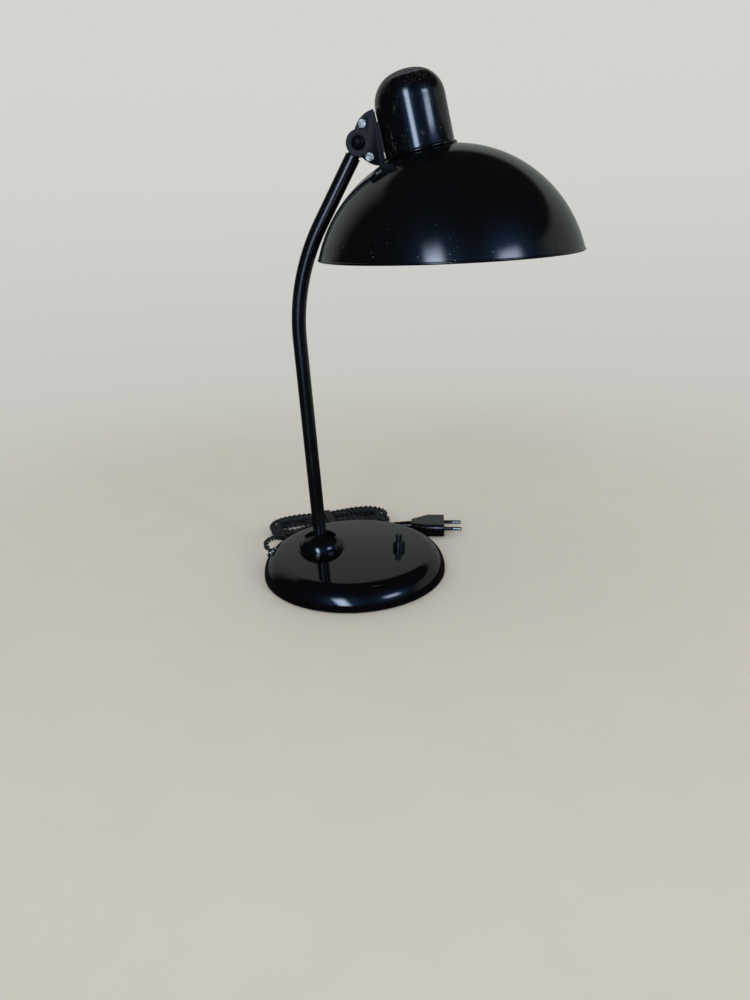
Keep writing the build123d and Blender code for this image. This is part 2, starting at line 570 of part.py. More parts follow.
def hinge_pieces():
    """Two plates, their screws, the hinge bolt and the saddle on the cap."""
    place = head_place * Pos(-HINGE_REACH, 0, hinge_z)
    edge_x = HINGE_REACH - CAP_RADIUS - CHEEK_GAP
    inner = KNUCKLE_HALF + FACE_GAP
    outer = inner + CHEEK_THICKNESS
    sheet = Plane.XZ * cheek_outline()
    screw_x = edge_x - BRACKET_SCREW_IN
    bolt_hole = disc_y(HINGE_BOLT_RADIUS + RUN_GAP, -outer - 5, outer + 5)
    web = block((edge_x - WEB_THICKNESS, edge_x), (-outer, inner - RUN_GAP), (-WEB_HALF, WEB_HALF))
    recess = disc_y(BOSS_RECESS, -outer - 5, -outer)
    clear = Sphere(SHADE_RADIUS + SHADE_GAP)
    clear += disc(FLANGE_RADIUS + FREE_GAP, lip_z - 5, lip_z + FLANGE_THICKNESS + FREE_GAP)
    clear = Pos(HINGE_REACH, 0, -hinge_z) * clear
    front = Pos(0, -inner, 0) * extrude(sheet, CHEEK_THICKNESS)
    front += disc_y(BOSS_RADIUS, -outer - BOSS_PROUD, -outer) + web
    front -= bolt_hole + recess + clear
    rear = Pos(0, outer, 0) * extrude(sheet, CHEEK_THICKNESS) - bolt_hole - clear
    screws = Part()
    nuts = Part()
    spacers = Part()
    for side in (-1, 1):
        spot = Pos(screw_x, 0, side * BRACKET_SCREW_UP)
        hole = spot * disc_y(BRACKET_SCREW_RADIUS + RUN_GAP, -outer - 5, outer + 5)
        front -= hole
        rear -= hole
        screw = disc(BRACKET_SCREW_RADIUS, -outer - BRACKET_SCREW_TAIL, outer)
        head = disc(BRACKET_SCREW_HEAD, outer, outer + BRACKET_HEAD_HEIGHT)
        screw += fillet(head.edges().sort_by(Axis.Z)[-1], BRACKET_HEAD_EDGE)
        screw -= slot_cut(
            BRACKET_SCREW_HEAD, outer, outer + BRACKET_HEAD_HEIGHT, BRACKET_SLOT, BRACKET_SLOT
        )
        screws += spot * (Rot(90, 0, 0) * (Rot(0, 0, BRACKET_SCREW_TURN * side) * screw))
        nut = hexagon(
            2 * BRACKET_SCREW_HEAD - 1, outer, outer + BRACKET_NUT, BRACKET_SCREW_RADIUS + RUN_GAP
        )
        nuts += spot * (Rot(-90, 0, 0) * nut)
        spacers += spot * disc_y(
            BRACKET_SPACER_RADIUS, -inner, inner, BRACKET_SCREW_RADIUS + RUN_GAP
        )
    wire_hole = Pos(edge_x, 0, 0) * (Rot(0, 90, 0) * Cylinder(HEAD_FLEX_RADIUS + FLEX_ROOM, 20))
    saddle = block(
        (edge_x + RUN_GAP, edge_x + CHEEK_GAP + SADDLE_DEPTH),
        (-SADDLE_HALF_WIDTH, SADDLE_HALF_WIDTH),
        (-SADDLE_HALF_HEIGHT, SADDLE_HALF_HEIGHT),
    )
    saddle -= Pos(HINGE_REACH, 0, 0) * Cylinder(CAP_RADIUS + RUN_GAP, 60)
    saddle -= wire_hole
    front -= wire_hole
    saddle_screws = Part()
    for side in (-1, 1):
        spot = Pos(edge_x, 0, side * SADDLE_SCREW_AT)
        hole = spot * (Rot(0, 90, 0) * Cylinder(SADDLE_SCREW_RADIUS + RUN_GAP, 20))
        front -= hole
        saddle -= hole
        head_low = CHEEK_GAP + CAP_WALL + FREE_GAP
        shank = disc(SADDLE_SCREW_RADIUS, -WEB_THICKNESS, head_low)
        head = disc(2 * SADDLE_SCREW_RADIUS, head_low, head_low + SADDLE_SCREW_HEAD)
        saddle_screws += spot * (Rot(0, 90, 0) * (shank + head))
    save(place * front, "bracket_front")
    save(place * rear, "bracket_rear")
    save(place * screws, "bracket_screws")
    save(place * nuts, "bracket_nuts")
    save(place * spacers, "bracket_spacers")
    save(place * saddle, "cap_saddle")
    save(place * saddle_screws, "saddle_screws")

    ball = (HINGE_HEAD_RADIUS**2 + HINGE_HEAD**2) / (2 * HINGE_HEAD)
    head = Pos(0, 0, outer + HINGE_HEAD - ball) * Sphere(ball)
    head &= disc(HINGE_HEAD_RADIUS, outer, outer + HINGE_HEAD + 1)
    bolt = head + disc(HINGE_BOLT_RADIUS, -outer - HINGE_WASHER - HINGE_NUT - 1, outer)
    save(place * (Rot(90, 0, 0) * bolt), "hinge_bolt")
    washer = disc_y(
        HINGE_WASHER_RADIUS, outer, outer + HINGE_WASHER, HINGE_BOLT_RADIUS + RUN_GAP
    )
    save(place * washer, "hinge_washer")
    nut_low = outer + HINGE_WASHER
    nut = hexagon(HINGE_NUT_ACROSS, nut_low, nut_low + HINGE_NUT, HINGE_BOLT_RADIUS + RUN_GAP)
    save(place * (Rot(-90, 0, 0) * nut), "hinge_nut")


# ================================================================== cap and shade
def lip_flange():
    """Rolled flange round the cap's lip, which follows the shade and ends in a round edge."""
    inner = CAP_RADIUS - CAP_WALL
    rolled = FLANGE_RADIUS - FLANGE_THICKNESS / 2
    low = neck_z(rolled)
    outline = [
        Line((inner, lip_z), (rolled, low)),
        ThreePointArc(
            (rolled, low),
            (FLANGE_RADIUS, low + FLANGE_THICKNESS / 2),
            (rolled, low + FLANGE_THICKNESS),
        ),
        Line((rolled, low + FLANGE_THICKNESS), (inner, lip_z + FLANGE_THICKNESS)),
        Line((inner, lip_z + FLANGE_THICKNESS), (inner, lip_z)),
    ]
    return revolve(Plane.XZ * make_face(outline), Axis.Z)


def cap_pieces():
    """Spun cap, collar and shade."""
    top = lip_z + CAP_BODY + CAP_DOME
    edge = lip_z + CAP_BODY
    cap = dome(CAP_RADIUS, CAP_SHOULDER, edge, top, lip_z) + lip_flange()
    cap -= dome(
        CAP_RADIUS - CAP_WALL, CAP_SHOULDER - CAP_WALL, edge, top - CAP_WALL, lip_z - 5
    )
    side = Pos(-CAP_RADIUS, 0, hinge_z)
    cap -= side * (Rot(0, 90, 0) * Cylinder(HEAD_FLEX_RADIUS + FLEX_ROOM, 10))
    for turn in (-1, 1):
        spot = side * Pos(0, 0, turn * SADDLE_SCREW_AT)
        cap -= spot * (Rot(0, 90, 0) * Cylinder(SADDLE_SCREW_RADIUS + RUN_GAP, 10))
    save(head_place * cap, "cap")

    snug = CAP_RADIUS - CAP_WALL - RUN_GAP
    collar = disc(snug, SHADE_RADIUS - 8, lip_z + COLLAR_DEPTH, HOLDER_RADIUS + FACE_GAP)
    save(head_place * (collar - Sphere(SHADE_RADIUS + RUN_GAP)), "neck_collar")

    rim_tilt = CAP_LEAN - SHADE_RIM_LEAN
    rim_radius = sqrt(SHADE_RADIUS**2 - SHADE_CUT**2)
    half_space = Pos(0, 0, SHADE_CUT + SHADE_RADIUS) * Cylinder(2 * SHADE_RADIUS, 2 * SHADE_RADIUS)
    shade = (Sphere(SHADE_RADIUS) - Sphere(SHADE_RADIUS - SHADE_WALL)) & half_space
    shade += Pos(0, 0, SHADE_CUT) * Torus(rim_radius - SHADE_WALL / 2, SHADE_BEAD)
    shade = Rot(0, rim_tilt, 0) * shade
    shade -= disc(HOLDER_RADIUS + FACE_GAP, SHADE_RADIUS - 10, SHADE_RADIUS + 10)
    save(head_place * shade, "shade")


# ================================================================== lampholder and bulb
def holder_pieces():
    """Lampholder with its ring, contacts and hanger, and the bulb."""
    low = lip_z - HOLDER_SKIRT
    high = low + HOLDER_HEIGHT
    cavity = HOLDER_RADIUS - HOLDER_WALL
    body = fillet(disc(HOLDER_RADIUS, low, high).edges().sort_by(Axis.Z)[-1], HOLDER_EDGE)
    body -= disc(cavity, low - 1, high - HOLDER_FLOOR)
    body -= disc(NIPPLE_RADIUS + RUN_GAP, high - HOLDER_FLOOR - 1, high + 1)
    save(head_place * body, "lampholder_body")

    ring_high = sqrt((SHADE_RADIUS - SHADE_WALL) ** 2 - RING_RADIUS**2) - RUN_GAP
    ring = disc(RING_RADIUS, ring_high - RING_HEIGHT, ring_high, HOLDER_RADIUS + RUN_GAP)
    grooves = Part()
    for turn in range(0, 360, 15):
        groove = disc(RING_GROOVE, ring_high - 2 * RING_HEIGHT, ring_high + RING_HEIGHT)
        grooves += Rot(0, 0, turn) * (Pos(RING_RADIUS, 0, 0) * groove)
    save(head_place * (ring - grooves), "shade_ring")

    plate_low = high
    plate = disc(
        CAP_RADIUS - CAP_WALL - RUN_GAP, plate_low, plate_low + HOLDER_PLATE, NIPPLE_RADIUS + RUN_GAP
    )
    flex_x = HOLDER_RADIUS + HEAD_FLEX_RADIUS + FREE_GAP
    plate -= Pos(-flex_x, 0, 0) * disc(HEAD_FLEX_RADIUS + FLEX_ROOM, plate_low - 1, plate_low + 3)
    save(head_place * plate, "holder_plate")
    nipple_low = high - HOLDER_FLOOR
    nipple = disc(NIPPLE_RADIUS, nipple_low, nipple_low + NIPPLE_LENGTH + 2, NIPPLE_RADIUS - NIPPLE_WALL)
    save(head_place * nipple, "holder_nipple")
    nut_low = plate_low + HOLDER_PLATE
    nut = hexagon(2 * NIPPLE_NUT_RADIUS - 2, nut_low, nut_low + NIPPLE_NUT, NIPPLE_RADIUS + RUN_GAP)
    save(head_place * nut, "holder_nut")

    insert_high = high - HOLDER_FLOOR
    insert_low = insert_high - INSERT_THICKNESS
    insert = disc(cavity - RUN_GAP, insert_low, insert_high)
    save(head_place * insert, "holder_insert")
    shell = disc(
        SCREW_SHELL_RADIUS, insert_low - SCREW_SHELL_LENGTH, insert_low,
        SCREW_SHELL_RADIUS - SCREW_SHELL_WALL,
    )
    save(head_place * shell, "holder_screw_shell")
    contact_low = insert_low - CONTACT_HIGH
    half = (-CONTACT_RADIUS, CONTACT_RADIUS)
    contact = block((-7, CONTACT_RADIUS), half, (insert_low - CONTACT_SHEET, insert_low))
    contact += disc(CONTACT_RADIUS, contact_low, insert_low)
    save(head_place * contact, "holder_contact")

    bulb_top = contact_low
    cap_high = bulb_top - BULB_TIP
    cap_low = cap_high - BULB_CAP_LENGTH
    bulb_cap = disc(BULB_CAP_RADIUS, cap_low, cap_high)
    bulb_cap += Pos(0, 0, cap_high + BULB_TIP / 2) * Cone(BULB_CAP_RADIUS - 3, 4, BULB_TIP)
    save(head_place * bulb_cap, "bulb_cap")

    def glass(neck, radius, top, bottom):
        """Bulb envelope: straight neck that swells into a ball."""
        ball_z = bottom + radius
        waist_z = ball_z + BULB_WAIST * radius
        leave = radians(BULB_LEAVE)
        begin = (radius * cos(leave), ball_z + radius * sin(leave))
        below = radians(BULB_LEAVE - 90) / 2
        outline = [
            Line((0, bottom), (0, top)),
            Line((0, top), (neck, top)),
            Line((neck, top), (neck, waist_z)),
            Spline((neck, waist_z), begin, tangents=((0, -1), (sin(leave), -cos(leave)))),
            ThreePointArc(
                begin, (radius * cos(below), ball_z + radius * sin(below)), (0, bottom)
            ),
        ]
        return revolve(Plane.XZ * make_face(outline), Axis.Z)

    crown = bulb_top - BULB_LENGTH
    envelope = glass(BULB_CAP_RADIUS - 0.6, BULB_RADIUS, cap_low, crown)
    envelope -= glass(
        BULB_CAP_RADIUS - 0.6 - BULB_WALL, BULB_RADIUS - BULB_WALL, cap_low - BULB_WALL,
        crown + BULB_WALL,
    )
    save(head_place * envelope, "bulb_glass")

    over = high + HOLDER_PLATE + 7
    route = [
        (-CAP_RADIUS - CHEEK_GAP - 3, 0, hinge_z),
        (-flex_x, 0, hinge_z),
        (-flex_x, 0, over),
        (-NIPPLE_RADIUS - 1.5, 0, over),
    ]
    flex = FilletPolyline(*route, radius=[3.0, 5.0])
    save(head_place * tube_along(flex, HEAD_FLEX_RADIUS), "head_flex")


# ================================================================== switch
def switch_pieces():
    """Push switch through the dome."""
    place = Pos(SWITCH_X, 0, 0)
    top = surface_z(SWITCH_X) + SWITCH_BARREL
    bush_high = top - SWITCH_COLLAR_STEP
    body_high = surface_z(SWITCH_X + SWITCH_BODY_RADIUS) - BASE_WALL - FACE_GAP
    body_low = body_high - SWITCH_BODY_DEPTH
    bore = SWITCH_BUTTON_RADIUS + RUN_GAP
    collar = disc(SWITCH_BARREL_RADIUS, surface_z(SWITCH_X) - 2, top)
    collar = chamfer(collar.edges().sort_by(Axis.Z)[-1], SWITCH_BARREL_RADIUS / 8)
    collar -= disc(SWITCH_BUSH_RADIUS + RUN_GAP, 0, bush_high)
    collar -= disc(bore, 0, top + 1)
    save(place * collar - outer_dome, "switch_collar")

    flange_high = body_high - FACE_GAP
    flange_low = flange_high - SWITCH_FLANGE
    spring_floor = flange_low - 2 * SWITCH_TRAVEL
    body = disc(SWITCH_BODY_RADIUS, body_low, body_high)
    body += disc(SWITCH_BUSH_RADIUS, body_high, bush_high)
    body -= disc(bore, body_high - 1, top + 1)
    body -= disc(SWITCH_FLANGE_RADIUS + RUN_GAP, spring_floor, body_high)
    save(place * body, "switch_body")

    button = disc(SWITCH_BUTTON_RADIUS, flange_low, top + SWITCH_BUTTON_PROUD)
    button = fillet(button.edges().sort_by(Axis.Z)[-1], SWITCH_BUTTON_RADIUS / 2.5)
    button += disc(SWITCH_FLANGE_RADIUS, flange_low, flange_high)
    save(place * button, "switch_button")
    spring = disc(
        SWITCH_SPRING_RADIUS, spring_floor, flange_low, SWITCH_SPRING_RADIUS - SWITCH_SPRING_WALL
    )
    save(place * spring, "switch_spring")
    return body_low


# ================================================================== cord entry and wiring in the base
def entry_pieces(switch_low):
    """Grommet with its nut, clip, terminal block and the wiring inside the base."""
    flange = disc(GROMMET_FLANGE_RADIUS, -2, GROMMET_FLANGE)
    flange = fillet(flange.edges().sort_by(Axis.Z)[-1], GROMMET_FLANGE / 2)
    grommet = grommet_place * flange - outer_dome
    grommet += grommet_place * disc(GROMMET_BARREL, -GROMMET_DEPTH, 0.3)
    grommet -= grommet_place * disc(GROMMET_BORE, -GROMMET_DEPTH - 1, GROMMET_FLANGE + 1)
    save(grommet, "cord_grommet")
    nut_low = -BASE_WALL - GROMMET_NUT - 0.7
    nut = disc(GROMMET_NUT_RADIUS, nut_low, 0, GROMMET_BARREL + RUN_GAP)
    save(grommet_place * nut & inner_dome, "grommet_nut")

    block_high = -JOINT_CLAMP_RADIUS - POCKET_GAP + JOINT_X
    block_low = block_high - TERMINAL_LENGTH
    cord_z = plate_high + CORD_RADIUS + FREE_GAP
    start = grommet_at + grommet_out * GROMMET_FLANGE
    inside = grommet_at - grommet_out * (GROMMET_DEPTH + 3)
    clip_x = block_low - CLIP_WIDTH / 2 - 1
    bend = Vector(clip_x - CLIP_WIDTH / 2 - 3, 0, cord_z)
    inner_path = FilletPolyline(start, inside, bend, Vector(block_low, 0, cord_z), radius=5.0)
    save(tube_along(inner_path, CORD_RADIUS), "inner_cord")

    terminal_wide = (-TERMINAL_WIDTH / 2, TERMINAL_WIDTH / 2)
    terminal = block((block_low, block_high), terminal_wide, (plate_high, plate_high + TERMINAL_HIGH))
    screws = Part()
    clip_reach = CORD_RADIUS + RUN_GAP
    clip_x_span = (clip_x - CLIP_WIDTH / 2, clip_x + CLIP_WIDTH / 2)
    clip_foot = (-CLIP_HALF, CLIP_HALF)
    clip = block(clip_x_span, clip_foot, (plate_high, plate_high + CLIP_THICKNESS))
    hump = clip_reach + CLIP_THICKNESS
    clip += block(clip_x_span, (-hump, hump), (plate_high, cord_z + hump))
    clip -= block(clip_x_span, (-clip_reach, clip_reach), (plate_high - 1, cord_z + clip_reach))
    screw_y = (hump + CLIP_HALF) / 2
    for side in (-1, 1):
        spot = Pos(clip_x, side * screw_y, plate_high)
        clip -= spot * disc(SMALL_SCREW_RADIUS + RUN_GAP, -1, CLIP_THICKNESS + 1)
        screw = disc(SMALL_SCREW_RADIUS, 0, CLIP_THICKNESS)
        screw += disc(SMALL_SCREW_HEAD, CLIP_THICKNESS, CLIP_THICKNESS + 1)
        screws += spot * screw
        spot = Pos((block_low + block_high) / 2, side * TERMINAL_WIDTH / 4, plate_high)
        terminal -= spot * disc(SMALL_SCREW_HEAD, TERMINAL_HIGH - 1, TERMINAL_HIGH + 1)
        screws += spot * disc(SMALL_SCREW_HEAD - RUN_GAP, TERMINAL_HIGH - 1, TERMINAL_HIGH)
    save(clip, "cord_clip")
    save(terminal, "terminal_block")
    save(screws, "entry_screws")

    wire_z = plate_high + SWITCH_WIRE_RADIUS + FREE_GAP
    rise = switch_low + SWITCH_WIRE_RADIUS + 1
    face = SWITCH_X - SWITCH_BODY_RADIUS
    wire_path = FilletPolyline(
        (block_high, 0, wire_z), (face - 22, 0, wire_z), (face - 10, 0, rise), (face, 0, rise),
        radius=8.0,
    )
    save(tube_along(wire_path, SWITCH_WIRE_RADIUS), "switch_wire")


# ================================================================== cord, hank and plug
def hank_point(along, across, height):
    """Place on the hank: along its curved middle line, across it, and above the surface."""
    angle = radians(HANK_AZIMUTH) - along / HANK_CENTRE
    radius = HANK_CENTRE + across
    return Vector(radius * cos(angle), radius * sin(angle), height)


def hank_dirs(along):
    """Directions along and across the hank's middle line."""
    angle = radians(HANK_AZIMUTH) - along / HANK_CENTRE
    return Vector(sin(angle), -cos(angle), 0), Vector(cos(angle), sin(angle), 0)


def hank_nodes():
    """Points and directions that the hank's turns pass through."""
    low = CORD_RADIUS + HANK_LIFT
    high = low + HANK_LAYER
    levels = list(range(HANK_LEVELS, -1, -1)) + list(range(1, HANK_LEVELS + 1))
    nodes = []
    for index, level in enumerate(levels):
        way = 1 if index % 2 == 0 else -1
        side = -way
        first = low if index <= HANK_LEVELS else high
        last = low if index < HANK_LEVELS else high
        wide = HANK_FOLD + level * HANK_STEP / 2
        waist = HANK_WAIST_STEP / 2 * (level + (1 if side < 0 else 0))
        climb = 1.5 * (last - first) / (2 * HANK_HALF_RUN)
        for place, across, height in (
            (-way * HANK_HALF_RUN, side * wide, first),
            (0, HANK_WAIST_SHIFT + side * waist, (first + last) / 2),
            (way * HANK_HALF_RUN, side * wide, last),
        ):
            forward = hank_dirs(place)[0] * way
            if place == 0:
                forward += Vector(0, 0, climb)
            nodes.append((hank_point(place, across, height), forward.normalized()))
        if index + 1 < len(levels):
            next_wide = HANK_FOLD + levels[index + 1] * HANK_STEP / 2
            tip_place = way * (HANK_HALF_RUN + (wide + next_wide) / 2)
            tip = hank_point(tip_place, side * (wide - next_wide) / 2, last)
            nodes.append((tip, hank_dirs(tip_place)[1] * -side))
    return nodes


def wound_path(nodes):
    """Unbroken path of arcs through points and directions."""
    edges = []
    for (start, start_dir), (end, end_dir) in zip(nodes, nodes[1:]):
        edges += biarc(start, start_dir, end, end_dir)
    return Wire(edges)


def least_gap(path, radius):
    """Smallest gap between turns of a wound tube, measured on points."""
    count = int(path.length / 2.0)
    spots = [path @ (i / count) for i in range(count + 1)]
    skip = int(7 * radius / 2.0)
    least = 1e9
    for i, one in enumerate(spots):
        for other in spots[i + skip:]:
            least = min(least, (one - other).length)
    return least - 2 * radius


def corner_radii(points):
    """Radius at each corner: as large as its two runs allow."""
    radii = []
    for before, corner, after in zip(points, points[1:], points[2:]):
        turn = (corner - before).get_angle(after - corner)
        run = min((corner - before).length, (after - corner).length)
        radii.append(0.45 * run / tan(radians(turn) / 2))
    return radii


def cord_tube(points, name):
    """Free stretch of cord: straight runs joined by tangent arcs."""
    radii = corner_radii(points)
    path = FilletPolyline(*points, radius=radii)
    tube = tube_along(path, CORD_RADIUS)
    save(tube, name)
    section = pi * CORD_RADIUS**2
    print(f"{name}: length {path.length:.1f} mm, radii {[round(r, 1) for r in radii]}")
    print(f"{name}: volume {tube.volume:.1f}, section x length {section * path.length:.1f}")
    return path.length


def cord_pieces():
    """Free stretch, tied hank, tail and plug."""
    nodes = hank_nodes()
    (first, first_dir), (last, last_dir) = nodes[0], nodes[-1]
    start = grommet_at + grommet_out * GROMMET_FLANGE
    lead = [start, start + grommet_out * CORD_EXIT] + [Vector(*point) for point in CORD_ROUTE]
    total = cord_tube(lead + [first - first_dir * HANK_RUN_IN, first], "cord_lead")

    turns = wound_path(nodes)
    hank = tube_along(turns, CORD_RADIUS)
    save(hank, "cord_hank")
    section = pi * CORD_RADIUS**2
    print(f"cord_hank: length {turns.length:.1f}, least gap {least_gap(turns, CORD_RADIUS):.2f}")
    print(f"cord_hank: volume {hank.volume:.1f}, section x length {section * turns.length:.1f}")
    total += turns.length

    plug = Vector(*PLUG_START)
    tail = [last, last + last_dir * HANK_RUN_IN, plug - Vector(HANK_RUN_IN, 0, 0), plug]
    total += cord_tube(tail, "cord_tail")
    print(f"cord in all: {total:.0f} mm")

    reach = CORD_RADIUS + FREE_GAP
    near = HANK_WAIST_SHIFT - HANK_WAIST_STEP / 2 * (HANK_LEVELS + 1) - reach
    far = HANK_WAIST_SHIFT + HANK_WAIST_STEP / 2 * (HANK_LEVELS - 1) + reach
    low = HANK_LIFT - FACE_GAP
    top = HANK_LIFT + 2 * CORD_RADIUS + HANK_LAYER + FREE_GAP
    half = TIE_WIDTH / 2
    across = (near - TIE_THICKNESS, far + TIE_THICKNESS)
    tie = block(across, (-half, half), (low - TIE_THICKNESS, top + TIE_THICKNESS))
    tie = fillet(tie.edges().filter_by(Axis.Y), CORD_RADIUS / 2)
    hole = block((near, far), (-half - 1, half + 1), (low, top))
    tie -= fillet(hole.edges().filter_by(Axis.Y), CORD_RADIUS / 2 - TIE_THICKNESS)
    save(Rot(0, 0, HANK_AZIMUTH) * (Pos(HANK_CENTRE, 0, 0) * tie), "cord_tie")
    plug_pieces(plug)


def plug_pieces(start):
    """Flat plug with two round pins, pointing along +X from the end of the cord."""
    place = Pos(*start) * Rot(0, 90, 0)
    relief = Pos(0, 0, RELIEF_LENGTH / 2) * Cone(RELIEF_END, RELIEF_RADIUS, RELIEF_LENGTH)
    save(place * relief, "plug_relief")
    neck = RectangleRounded(PLUG_NECK_THICKNESS, PLUG_NECK_WIDTH, PLUG_EDGE)
    grip = RectangleRounded(PLUG_THICKNESS, PLUG_WIDTH, PLUG_EDGE)
    faces = [
        Pos(0, 0, RELIEF_LENGTH) * neck,
        Pos(0, 0, RELIEF_LENGTH + PLUG_LENGTH / 2) * grip,
        Pos(0, 0, RELIEF_LENGTH + PLUG_LENGTH) * grip,
    ]
    save(place * loft(Sketch() + faces, ruled=True), "plug_body")
    face = RELIEF_LENGTH + PLUG_LENGTH
    sleeves = Part()
    pins = Part()
    for side in (-1, 1):
        spot = Pos(0, side * PIN_SPACING / 2, 0)
        sleeves += spot * disc(PIN_RADIUS, face, face + PIN_SLEEVE)
        pin = disc(PIN_RADIUS, face + PIN_SLEEVE, face + PIN_LENGTH)
        pins += spot * fillet(pin.edges().sort_by(Axis.Z)[-1], PIN_RADIUS - 0.5)
    save(place * sleeves, "pin_sleeves")
    save(place * pins, "plug_pins")


base_pieces()
joint_pieces()
arm_pieces()
hinge_pieces()
cap_pieces()
holder_pieces()
entry_pieces(switch_pieces())
cord_pieces()
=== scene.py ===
"""Finish of a black enamelled desk lamp: materials, twisted cord, small details and the stage."""
import json
import math

import bmesh
import bpy
from bpy.props import FloatProperty, FloatVectorProperty, PointerProperty, StringProperty
from mathutils import Matrix, Vector


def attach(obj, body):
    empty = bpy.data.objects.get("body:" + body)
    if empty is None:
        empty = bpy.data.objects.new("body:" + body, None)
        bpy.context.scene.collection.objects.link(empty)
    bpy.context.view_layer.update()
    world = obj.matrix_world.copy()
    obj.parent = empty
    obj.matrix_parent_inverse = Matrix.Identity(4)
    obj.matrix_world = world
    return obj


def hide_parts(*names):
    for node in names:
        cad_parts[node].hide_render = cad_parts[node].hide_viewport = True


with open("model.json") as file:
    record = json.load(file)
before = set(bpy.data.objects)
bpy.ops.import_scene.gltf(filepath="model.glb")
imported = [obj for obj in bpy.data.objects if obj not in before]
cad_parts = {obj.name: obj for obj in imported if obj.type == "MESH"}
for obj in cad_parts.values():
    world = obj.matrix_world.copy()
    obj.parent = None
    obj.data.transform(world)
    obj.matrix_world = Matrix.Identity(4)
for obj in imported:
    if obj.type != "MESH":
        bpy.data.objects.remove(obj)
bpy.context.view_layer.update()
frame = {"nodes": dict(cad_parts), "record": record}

bl_info = {
    "name": "Desk Lamp Finish",
    "version": (1, 0, 0),
    "blender": (4, 5, 0),
    "location": "3D View > Sidebar > Lamp",
    "description": "Dresses the lamp's frame with enamel, metal, cloth cord and a stage",
    "category": "Object",
}

MM = 0.001
BODY_OF = {
    name: body for body, names in frame["record"]["behaviour"]["bodies"].items() for name in names
}

# ------------------------------------------------------------------ the lamp's own places, in mm
JOINT_LEAN = -2.19416       # degrees
JOINT_AT = (-32.5, 0.0, 24.3776)
PIVOT_AT = (-32.3086, 0.0, 19.3813)
HINGE_AT = (19.1048, 0.0, 384.926)
SWITCH_X = 44.6
GROMMET_TURN = 176.0
GROMMET_RISE = 42.0
CAP_LEAN = 12.5
RIM_LEAN = 1.0
HEAD_AT = (93.044, 0.0, 267.454)        # centre of the shade's sphere
LIP_Z = 112.501             # the cap's lip along its axis from there
NECK_HEIGHT = 0.35          # gap between the cap's underside and the shade

BASE = {"radius": 89.5, "shoulder": 19.0, "edge": 3.0, "height": 25.0, "foot": 1.0, "wall": 1.5}
COVER = {"radius": 22.0, "shoulder": 12.0, "edge": 1.1, "height": 16.0, "foot": 0.1, "wall": 1.2}
CAP = {"radius": 28.4, "shoulder": 22.7, "body": 37.05, "dome": 23.5, "wall": 1.0}
SLOT = {"half_width": 6.95, "end": 15.901}     # slot in the joint's cover
CAP_FLANGE = {"radius": 30.5, "thickness": 1.6}
SHADE = {"radius": 115.45, "wall": 1.0, "cut": 30.75, "bead": 1.0}
TUBE = {"radius": 6.35, "wall": 1.0, "lower": 255.3, "bend": 32.4, "bend_radius": 180.0}
COVER_FLANGE = {"radius": 23.3, "round": 0.25}
CAP_FILLET = ((0.9, -0.1), (0.3, 0.15), (0.05, 0.7))     # out from the wall, up from the flange
COLLAR = {"depth": 4.0, "clearance": 0.05}
HOLES = {"joint": 16.0, "switch": 4.7, "cord": 4.5, "neck": 19.6}       # their radii
TUBE_STARTS = 7.5           # above the tilt axis
TUBE_STOPS = 10.7           # before the hinge axis


def turned(at, lean=0.0):
    """Place at a point in millimetres, leant about Y."""
    return Matrix.Translation(Vector(at) * MM) @ Matrix.Rotation(math.radians(lean), 4, "Y")


def grommet_place():
    """Place of the cord's bush: on the rounded edge, Z outwards."""
    turn, rise = math.radians(GROMMET_TURN), math.radians(GROMMET_RISE)
    shoulder = BASE["shoulder"]
    reach = BASE["radius"] - shoulder + shoulder * math.cos(rise)
    height = BASE["edge"] + shoulder * math.sin(rise)
    at = Vector((reach * math.cos(turn), reach * math.sin(turn), height))
    out = Vector((
        math.cos(rise) * math.cos(turn), math.cos(rise) * math.sin(turn), math.sin(rise),
    ))
    return Matrix.Translation(at * MM) @ out.to_track_quat("Z", "Y").to_matrix().to_4x4()


JOINT = turned(JOINT_AT, JOINT_LEAN)
HEAD = turned(HEAD_AT, -CAP_LEAN)
RIM = turned(HEAD_AT, -RIM_LEAN)
CAP_AXIS = HEAD.to_3x3() @ Vector((0, 0, 1))
SHADE_RIM_Z = (HEAD_AT[2] + SHADE["cut"]) * MM
CAP_CROWN = (LIP_Z + CAP["body"] + CAP["dome"] - 6.8) * MM    # along the cap's axis
CROWN_FADE = 0.9 * MM

# ------------------------------------------------------------------ the cord's route
CORD_START = (-85.45, 5.98, 16.65)
CORD_LEAD = (
    (-88.3, 6.4, 19.2), (-90.6, 9.8, 21.2), (-91.2, 14.4, 22.0), (-89.8, 20.2, 22.2),
    (-87.0, 26.6, 21.4), (-84.4, 33.0, 19.4), (-81.8, 40.5, 15.8), (-79.2, 48.5, 10.8),
    (-76.2, 57.6, 4.9),
)
CORD_TAIL = ((25.0, 94.0, 6.9), (34.0, 94.0, 6.9))
HANK_AZIMUTH = 110.0
HANK_CENTRE = 117.8
HANK_HALF_RUN = 45.0
HANK_LEVELS = 4
HANK_FOLD = 11.6
HANK_STEP = 6.5
HANK_WAIST_STEP = 7.6
HANK_WAIST_SHIFT = -1.0
HANK_LOW = 3.45
HANK_LAYER = 6.2
HANK_RUN_IN = 9.0

# The braid, seen along and round a strand.
TWIST_POINTS = 14           # points of the line in one full twist
STRAND_SIDES = 10
BRAID_ROUND = 6             # pattern repeats round a strand
BRAID_REPEAT = 1.4 * MM     # and along it

